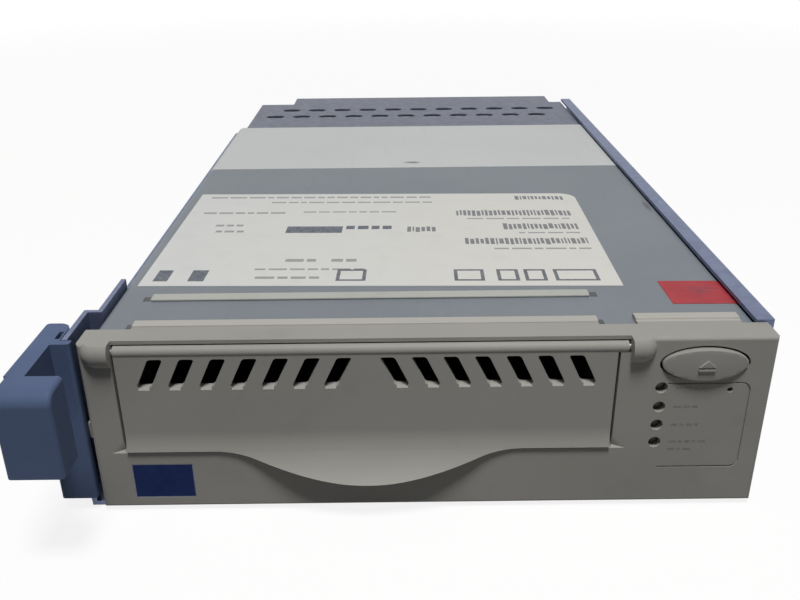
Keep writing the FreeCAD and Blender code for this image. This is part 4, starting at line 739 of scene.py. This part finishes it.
LABEL_LEFT = -69.7
LABEL_RIGHT = 49.0
LABEL_FRONT = 30.2
LABEL_REAR = 103.2
LABEL_CORNER_R = 5.0
LABEL_CORNER_STEPS = 8
LABEL_TURN = math.radians(-1.4)
LABEL_FOOT = LID_Z + 0.01 * MM
LABEL_TOP = LID_Z + 0.14 * MM
INK_SINK = 0.02 * MM
INK_PROUD = 0.012 * MM
LABEL_MIDDLE = ((LABEL_LEFT + LABEL_RIGHT) / 2, (LABEL_FRONT + LABEL_REAR) / 2)


def on_label(x, y):
    """Place on the lid in metres of a spot on the label, which is stuck on slightly askew."""
    dx, dy = x - LABEL_MIDDLE[0], y - LABEL_MIDDLE[1]
    turned_x = LABEL_MIDDLE[0] + dx * math.cos(LABEL_TURN) - dy * math.sin(LABEL_TURN)
    turned_y = LABEL_MIDDLE[1] + dx * math.sin(LABEL_TURN) + dy * math.cos(LABEL_TURN)
    return max(turned_x, LABEL_LEFT) * MM, FACE_Y + turned_y * MM


def label_outline():
    """Corners of the sheet, with an arc at the rear right one."""
    ring = [(LABEL_LEFT, LABEL_FRONT), (LABEL_RIGHT, LABEL_FRONT)]
    centre = (LABEL_RIGHT - LABEL_CORNER_R, LABEL_REAR - LABEL_CORNER_R)
    for step in range(LABEL_CORNER_STEPS + 1):
        angle = math.radians(90 * step / LABEL_CORNER_STEPS)
        out_x, out_y = math.cos(angle), math.sin(angle)
        ring.append((centre[0] + LABEL_CORNER_R * out_x, centre[1] + LABEL_CORNER_R * out_y))
    return ring + [(LABEL_LEFT, LABEL_REAR)]


def add_slab(shape, ring, low, high):
    """Flat slab of any outline between two heights, added to a mesh being built."""
    add_skin(shape, [[shape.verts.new((x, y, z)) for x, y in ring] for z in (low, high)])


label = bmesh.new()
add_slab(label, [on_label(x, y) for x, y in label_outline()], LABEL_FOOT, LABEL_TOP)
label_paper = paper("label_paper", clean=(0.752, 0.762, 0.756), aged=(0.782, 0.778, 0.740))
built_piece("lid_label", label, label_paper, "carrier")


def add_print(shape, x0, x1, y0, y1):
    """One printed rectangle on the label."""
    ring = [on_label(x, y) for x, y in ((x0, y0), (x1, y0), (x1, y1), (x0, y1))]
    add_slab(shape, ring, LABEL_TOP - INK_SINK, LABEL_TOP + INK_PROUD)


LABEL_ROWS = ((-66, 4, 99.6, 1.3), (-46, 4, 94.6, 1.1), (-65, -40, 84.6, 1.4),
              (-35, -7, 85.4, 1.0), (-59, -50, 73.5, 1.5), (-58, -50, 68.5, 1.5),
              (-35, -27, 46.6, 1.9), (-23, -15, 46.6, 1.9), (-42, -14, 40.6, 1.0),
              (-41, -25, 35.2, 1.4), (20, 46, 54.8, 1.0), (28, 45, 67.0, 0.9),
              (14, 44, 79.0, 0.9))
label_draw = random.Random(23)
rows = bmesh.new()
for row_x0, row_x1, row_y, row_h in LABEL_ROWS:
    for x0, x1 in dashes(row_x0, row_x1, longest=5.5, shortest=1.6, gap=0.8, draw=label_draw):
        add_print(rows, x0, x1, row_y - row_h / 2, row_y + row_h / 2)
row_ink = printed_ink("row_ink", tone=(0.33, 0.335, 0.335))
built_piece("label_rows", rows, row_ink, "carrier")

HATCH_BANDS = ((30, 45, 96.4, 100.6), (11, 45, 81.4, 86.8), (24, 45.5, 69.6, 74.8),
               (12.5, 46, 57.8, 63.0))
SMALL_BAND = (-3.5, 5.0, 67.8, 72.4)
HATCH_RAGGED = 0.9
bars = bmesh.new()
for band_x0, band_x1, band_y0, band_y1 in HATCH_BANDS + (SMALL_BAND,):
    for x0, x1 in dashes(band_x0, band_x1, longest=1.25, shortest=0.4, gap=0.42, draw=label_draw):
        trim = label_draw.uniform(0.0, HATCH_RAGGED)
        add_print(bars, x0, x1, band_y0 + trim, band_y1 - label_draw.uniform(0.0, HATCH_RAGGED))
hatch_ink = printed_ink("hatch_ink", tone=(0.19, 0.19, 0.205))
built_piece("label_hatching", bars, hatch_ink, "carrier")

BOX_PLACES = ((8.5, 16.0), (19.2, 24.6), (26.0, 31.4), (33.4, 44.2), (-20.8, -13.4))
BOX_Y = (33.2, 40.4)
BOX_LINE = 0.9
boxes = bmesh.new()
for box_x0, box_x1 in BOX_PLACES:
    add_print(boxes, box_x0, box_x1, BOX_Y[0], BOX_Y[0] + BOX_LINE)
    add_print(boxes, box_x0, box_x1, BOX_Y[1] - BOX_LINE, BOX_Y[1])
    add_print(boxes, box_x0, box_x0 + BOX_LINE, BOX_Y[0] + BOX_LINE, BOX_Y[1] - BOX_LINE)
    add_print(boxes, box_x1 - BOX_LINE, box_x1, BOX_Y[0] + BOX_LINE, BOX_Y[1] - BOX_LINE)
box_ink = printed_ink("box_ink", tone=(0.10, 0.105, 0.135))
built_piece("label_boxes", boxes, box_ink, "carrier")

BLOCK_PLACES = ((-66.0, -62.4, 33.0, 40.0), (-57.4, -53.4, 33.0, 40.0), (-38.0, -22.0, 67.2, 72.6))
BLOCK_ROW_X = (-21.0, -8.0)
BLOCK_ROW_Y = (70.2, 73.0)
blocks = bmesh.new()
for place in BLOCK_PLACES:
    add_print(blocks, *place)
for x0, x1 in dashes(*BLOCK_ROW_X, longest=3.2, shortest=1.6, gap=0.9, draw=label_draw):
    add_print(blocks, x0, x1, *BLOCK_ROW_Y)
block_ink = printed_ink("block_ink", tone=(0.075, 0.095, 0.125))
built_piece("label_blocks", blocks, block_ink, "carrier")

# ---------------------------------------------------------------------
# Red sticker. A small bright red paper seal on the lid's right edge, tucked under the rail's
# lip where the sheet bends down, with a rubbed thumb mark on it.
# ---------------------------------------------------------------------
STICKER_X = (56.9, 72.5)
STICKER_Y = (18.3, 31.3)
STICKER_SLANT = 0.2
LID_BEND_X = 70.4
LID_BEND_R = 2.6
STICKER_T = 0.1
STICKER_FOOT = 0.01
FLAT_STEPS = 6
BEND_STEPS = 5
SMEAR_MIDDLE = (66.5 * MM, FACE_Y + 26.0 * MM)
SMEAR_TONE = (0.17, 0.045, 0.065)
SMEAR_BREAK = 0.5
SMEAR_STRENGTH = 0.8


def lid_height(x):
    """Height of the lid's skin above the floor at a distance from the middle, in mm."""
    over = max(0.0, x - LID_BEND_X)
    return LID_Z / MM - LID_BEND_R + math.sqrt(LID_BEND_R ** 2 - over ** 2)


sticker = bmesh.new()
flat_run = LID_BEND_X - STICKER_X[0]
bend_run = STICKER_X[1] - LID_BEND_X
sticker_steps = [STICKER_X[0] + flat_run * i / FLAT_STEPS for i in range(FLAT_STEPS + 1)]
sticker_steps += [LID_BEND_X + bend_run * i / BEND_STEPS for i in range(1, BEND_STEPS + 1)]
sticker_rings = []
for x in sticker_steps:
    z = lid_height(x)
    lean = STICKER_SLANT * (x - STICKER_X[0]) / (STICKER_X[1] - STICKER_X[0])
    ring = []
    for y, lift in ((STICKER_Y[0], STICKER_FOOT), (STICKER_Y[1], STICKER_FOOT),
                    (STICKER_Y[1], STICKER_T), (STICKER_Y[0], STICKER_T)):
        ring.append(sticker.verts.new((x * MM, FACE_Y + (y - lean) * MM, (z + lift) * MM)))
    sticker_rings.append(ring)
add_skin(sticker, sticker_rings)

sticker_red, red_tree, red_shader = new_material("sticker_red")
red_cloud = noise(red_tree, scale=180.0, detail=4.0)
red_tone = colour_ramp(red_tree, red_cloud, low=(0.375, 0.034, 0.046), high=(0.445, 0.046, 0.058))
smear = noise(red_tree, scale=420.0, detail=5.0, roughness=0.7, stretch=(0.5, 1.4, 1))
smear_spot = streak(red_tree, SMEAR_MIDDLE, half_w=5.5 * MM, half_l=3.4 * MM)
smear_break = maths(red_tree, "GREATER_THAN", smear, SMEAR_BREAK)
smear_mask = maths(red_tree, "MULTIPLY", smear_break, smear_spot)
smear_share = maths(red_tree, "MULTIPLY", smear_mask, SMEAR_STRENGTH)
rubbed_red = blend_colours(red_tree, "MIX", smear_share, red_tone, SMEAR_TONE)
red_tree.links.new(rubbed_red, red_shader.inputs["Base Color"])
red_shader.inputs["Roughness"].default_value = 0.55
red_shader.inputs["Specular IOR Level"].default_value = 0.25
red_waves = noise(red_tree, scale=90.0, detail=3.0)
add_bump(red_tree, red_shader, red_waves, strength=0.12, distance=0.3 * MM)
built_piece("red_sticker", sticker, sticker_red, "carrier")


# ---------------------------------------------------------------------
# Side screws. Pan-head machine screws with a cross recess, turned and rolled in plated steel,
# through the carrier's walls into the drive.
# ---------------------------------------------------------------------
HEAD_STEPS = 5
HEAD_ROUND_SHARE = 0.55
THREAD_ROOT_SHARE = 0.86
THREAD_END_GAP = 0.4 * MM
TIP_CHAMFER = 0.35 * MM
TIP_SHARE = 0.6


def turned_profile(head_r, head_t, shank_r, length, pitch):
    """Radius and distance pairs of a pan head, its shank's thread and its chamfered end."""
    points = [(0.0, 0.0)]
    round_off = HEAD_ROUND_SHARE * head_t
    for step in range(1, HEAD_STEPS + 1):
        angle = math.radians(90 * step / HEAD_STEPS)
        points.append((head_r - round_off * (1 - math.sin(angle)),
                       round_off * (1 - math.cos(angle))))
    points += [(head_r, head_t), (shank_r, head_t)]
    root_r = shank_r * THREAD_ROOT_SHARE
    run = head_t + THREAD_END_GAP
    while run + pitch < length - THREAD_END_GAP:
        points += [(root_r, run), (shank_r, run + pitch / 2)]
        run += pitch
    return points + [(root_r, length - TIP_CHAMFER), (shank_r * TIP_SHARE, length), (0.0, length)]


TURNED_SIDES = 24


def add_turned(shape, points, start, axis):
    """Turned solid about a level line, added to a mesh being built."""
    across = Vector((axis.y, axis.x, 0))
    upward = Vector((0, 0, 1))
    rings = []
    for radius, run in points:
        if radius == 0.0:
            rings.append([shape.verts.new(start + axis * run)])
            continue
        ring = []
        for i in range(TURNED_SIDES):
            angle = 2 * math.pi * i / TURNED_SIDES
            spoke = across * math.cos(angle) + upward * math.sin(angle)
            ring.append(shape.verts.new(start + axis * run + spoke * radius))
        rings.append(ring)
    for near, far in zip(rings, rings[1:]):
        for i in range(TURNED_SIDES):
            j = (i + 1) % TURNED_SIDES
            if len(near) == 1:
                shape.faces.new((near[0], far[i], far[j]))
            elif len(far) == 1:
                shape.faces.new((near[i], far[0], near[j]))
            else:
                shape.faces.new((near[i], far[i], far[j], near[j]))


CROSS_SLIMNESS = 5
CROSS_DEPTH_SHARE = 0.6
CROSS_TAPER = (0.45, 0.7)


def cross_cutter(start, axis, arm):
    """Tapered cross that a screwdriver's tip fills."""
    shape = bmesh.new()
    across = Vector((axis.y, axis.x, 0))
    upward = Vector((0, 0, 1))
    slim = arm / CROSS_SLIMNESS
    mouth = start - axis * slim
    floor_of_cross = start + axis * arm * CROSS_DEPTH_SHARE
    for half_w, half_h in ((arm, slim), (slim, arm)):
        near = []
        far = []
        for a, b in ((-1, -1), (1, -1), (1, 1), (-1, 1)):
            side = across * a * half_w
            rise = upward * b * half_h
            inset = side * CROSS_TAPER[0] + rise * CROSS_TAPER[1]
            near.append(shape.verts.new(mouth + side + rise))
            far.append(shape.verts.new(floor_of_cross + inset))
        add_skin(shape, [near, far])
    return to_object("screw_cutter", shape)


def carve(piece, cutter):
    """Cut one mesh from another for good, and drop the cutter."""
    boolean = piece.modifiers.new("carve", "BOOLEAN")
    boolean.operation = "DIFFERENCE"
    boolean.solver = "EXACT"
    boolean.use_self = True
    boolean.object = cutter
    bpy.context.view_layer.update()
    depsgraph = bpy.context.evaluated_depsgraph_get()
    carved = bpy.data.meshes.new_from_object(piece.evaluated_get(depsgraph))
    piece.modifiers.clear()
    piece.data = carved
    bpy.data.objects.remove(cutter)


screw_steel = bright_steel("screw_steel", tone=(0.60, 0.60, 0.61), rough=(0.20, 0.34))


def turned_screw(name, start, inward, arm, **sizes):
    """Steel screw from its profile's sizes, with a cross recess whose arms reach out by arm."""
    screw = bmesh.new()
    add_turned(screw, turned_profile(**sizes), start, inward)
    piece = built_piece(name, screw, screw_steel, "carrier")
    carve(piece, cross_cutter(start, inward, arm))
    return piece


SCREWS = sorted(node for node in NODES if node.startswith("side_screw_"))
for node in SCREWS:
    low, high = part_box(node)
    inward = Vector((1 if low.x < 0 else -1, 0, 0))
    start = Vector((low.x if inward.x > 0 else high.x, (low.y + high.y) / 2, (low.z + high.z) / 2))
    screw_piece = turned_screw(node + "_turned", start, inward, arm=1.55 * MM,
                               head_r=(high.z - low.z) / 2, head_t=1.1 * MM, shank_r=1.3 * MM,
                               length=high.x - low.x, pitch=0.7 * MM)
    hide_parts(node)

# ---------------------------------------------------------------------
# Mechanism. A cast deck carries machined castings, turned rollers, a black moulded reel, a steel
# rotor and a plated sheet cage. It is closed in and seen only when the door is lifted.
# ---------------------------------------------------------------------
casting = bright_steel("casting", tone=(0.50, 0.51, 0.52), rough=(0.40, 0.55))
for node in ("mechanism_deck", "hub_stator", "takeup_motor", "head_base", "head_carriage",
             "guide_roller_1", "guide_roller_2", "guide_roller_3", "guide_roller_4"):
    finish_node(node, casting)
finish_node("takeup_reel", black_plastic)
finish_node("cartridge_tray", base_zinc, arris=0.1 * MM)
for node in ("hub_rotor", "tape_head"):
    finish_node(node, pin_steel)

# ---------------------------------------------------------------------
# Loading drive. A small can motor with a moulded pinion that meshes with a moulded rack on the
# cage's right side.
# ---------------------------------------------------------------------
acetal = moulded_plastic("acetal", dark=(0.55, 0.54, 0.50), light=(0.60, 0.59, 0.55), grain=1500.0,
                         relief=0.04, rough=(0.35, 0.45))
for node in ("loader_rack", "load_pinion"):
    finish_node(node, acetal)
finish_node("load_motor", pin_steel)

# ---------------------------------------------------------------------
# Carrier. Galvanised sheet tray, stepped left wall and right rail with an inturned lip, joined
# by pairs of spot welds low on each wall.
# ---------------------------------------------------------------------
WALL_WELDS = [(FACE_Y + y * MM, BEZEL_Z + z * MM) for y in (32, 96, 160, 204) for z in (8.0, 30.0)]
sled_zinc = zinc_sheet("sled_zinc", low=(0.152, 0.184, 0.292), high=(0.186, 0.224, 0.352),
                       spangle=420.0, welds=WALL_WELDS)
for node in ("sled_tray", "sled_left_wall", "sled_right_rail", "adapter_bracket"):
    finish_node(node, sled_zinc, arris=0.15 * MM, flat=True)

# ---------------------------------------------------------------------
# Rear hood. A box of the same galvanised sheet with a slotted roof, over the adapter board, the
# rear plug and its two guide pins.
# ---------------------------------------------------------------------
hood_zinc = zinc_sheet("hood_zinc", low=(0.100, 0.115, 0.162), high=(0.148, 0.164, 0.222),
                       spangle=460.0)
for node in ("rear_hood", "rear_hood_roof"):
    finish_node(node, hood_zinc, arris=0.12 * MM, flat=True)
finish_node("blind_mate_plug", black_plastic, arris=0.15 * MM)
for node in ("guide_pin_left", "guide_pin_right"):
    finish_node(node, pin_steel)

# ---------------------------------------------------------------------
# Rear plug's contacts. Two rows of stamped, gold-plated blades lie in the tongue's faces.
# ---------------------------------------------------------------------
BLADE_PITCH = 1.27 * MM
BLADE_W = 0.8 * MM
BLADE_L = 9.5 * MM
BLADE_SETBACK = 0.4 * MM
BLADE_SINK = 0.1 * MM
BLADE_PROUD = 0.07 * MM
TONGUE_IN = (4.0 * MM, 1.5 * MM)
TONGUE_HALF_T = 1.0 * MM
TONGUE_MARGIN = 1.4 * MM
plug_low, plug_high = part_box("blind_mate_plug")
tongue_z = (plug_low.z + plug_high.z) / 2
tongue_end = plug_high.y - TONGUE_IN[1]
blades = bmesh.new()
blade_x = plug_low.x + TONGUE_IN[0] + TONGUE_MARGIN
while blade_x + BLADE_W < plug_high.x - TONGUE_IN[0] - TONGUE_MARGIN:
    for side in (-1, 1):
        face_z = tongue_z + side * TONGUE_HALF_T
        low_z, high_z = sorted((face_z - side * BLADE_SINK, face_z + side * BLADE_PROUD))
        low = (blade_x, tongue_end - BLADE_L, low_z)
        add_block(blades, low, (blade_x + BLADE_W, tongue_end - BLADE_SETBACK, high_z))
    blade_x += BLADE_PITCH
blade_gold = bright_steel("blade_gold", tone=(0.74, 0.56, 0.26), rough=(0.24, 0.36))
built_piece("plug_blades", blades, blade_gold, "carrier")

# ---------------------------------------------------------------------
# Parts on the upright board. Small ceramic chips with tinned ends in loose rows above the plug,
# and four pan-head screws that hold the board to its bracket.
# ---------------------------------------------------------------------
CHIP_ROWS = (7.2, 10.6, 14.0)
CHIP_RUN = (-26.0, 38.0)
CHIP_STEP = (3.4, 6.4)
CHIP_CHANCE = 0.72
CHIP_L = 2.0
CHIP_H = 1.2 * MM
CHIP_PROUD = 0.62 * MM
TIN_W = 0.42 * MM
TIN_OVER = 0.02 * MM
TIN_PROUD = 0.66 * MM
BODY_IN = 0.4 * MM
SEAT_DEPTH = 0.05 * MM
board_low, board_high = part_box("adapter_board")
chip_draw = random.Random(5)
chips = bmesh.new()
ends = bmesh.new()
for row_z in CHIP_ROWS:
    chip_x = CHIP_RUN[0]
    while chip_x < CHIP_RUN[1]:
        if chip_draw.random() < CHIP_CHANCE:
            x0, x1 = chip_x * MM, (chip_x + CHIP_L) * MM
            z0 = board_high.z - row_z * MM
            add_block(chips, (x0 + BODY_IN, board_high.y - SEAT_DEPTH, z0),
                      (x1 - BODY_IN, board_high.y + CHIP_PROUD, z0 + CHIP_H))
            for tip in (x0, x1 - TIN_W):
                add_block(ends, (tip, board_high.y - SEAT_DEPTH, z0 - TIN_OVER),
                          (tip + TIN_W, board_high.y + TIN_PROUD, z0 + CHIP_H + TIN_OVER))
        chip_x += chip_draw.uniform(*CHIP_STEP)
chip_tan = moulded_plastic("chip_ceramic", dark=(0.30, 0.21, 0.13), light=(0.38, 0.27, 0.17),
                           grain=3000.0, relief=0.05)
built_piece("board_capacitors", chips, chip_tan, "carrier")
tinned_ends = bright_steel("tinned_ends", tone=(0.62, 0.62, 0.63))
built_piece("board_solder_ends", ends, tinned_ends, "carrier")

SCREW_PLACES = ((-44, 4.5), (-44, 26.5), (56.5, 4.5), (56.5, 26.5))
SCREW_HEAD_T = 1.3 * MM
for index, (screw_x, screw_z) in enumerate(SCREW_PLACES):
    start = Vector((screw_x * MM, board_high.y + SCREW_HEAD_T, board_low.z + screw_z * MM))
    inward = Vector((0, -1, 0))
    turned_screw("adapter_screw_" + str(index + 1), start, inward, arm=1.2 * MM,
                 head_r=2.1 * MM, head_t=SCREW_HEAD_T, shank_r=1.0 * MM, length=2.6 * MM,
                 pitch=0.5 * MM)

# ---------------------------------------------------------------------
# Release handle. A hooked lever moulded in one piece in semi-gloss slate-blue plastic. It swings
# on an upright steel pin.
# ---------------------------------------------------------------------
handle_blue = moulded_plastic("handle_blue", dark=(0.096, 0.137, 0.250),
                              light=(0.113, 0.159, 0.286), grain=2200.0, relief=0.08, gloss=0.12)
finish_node("release_handle", handle_blue, arris=0.3 * MM)
finish_node("handle_pin", pin_steel)
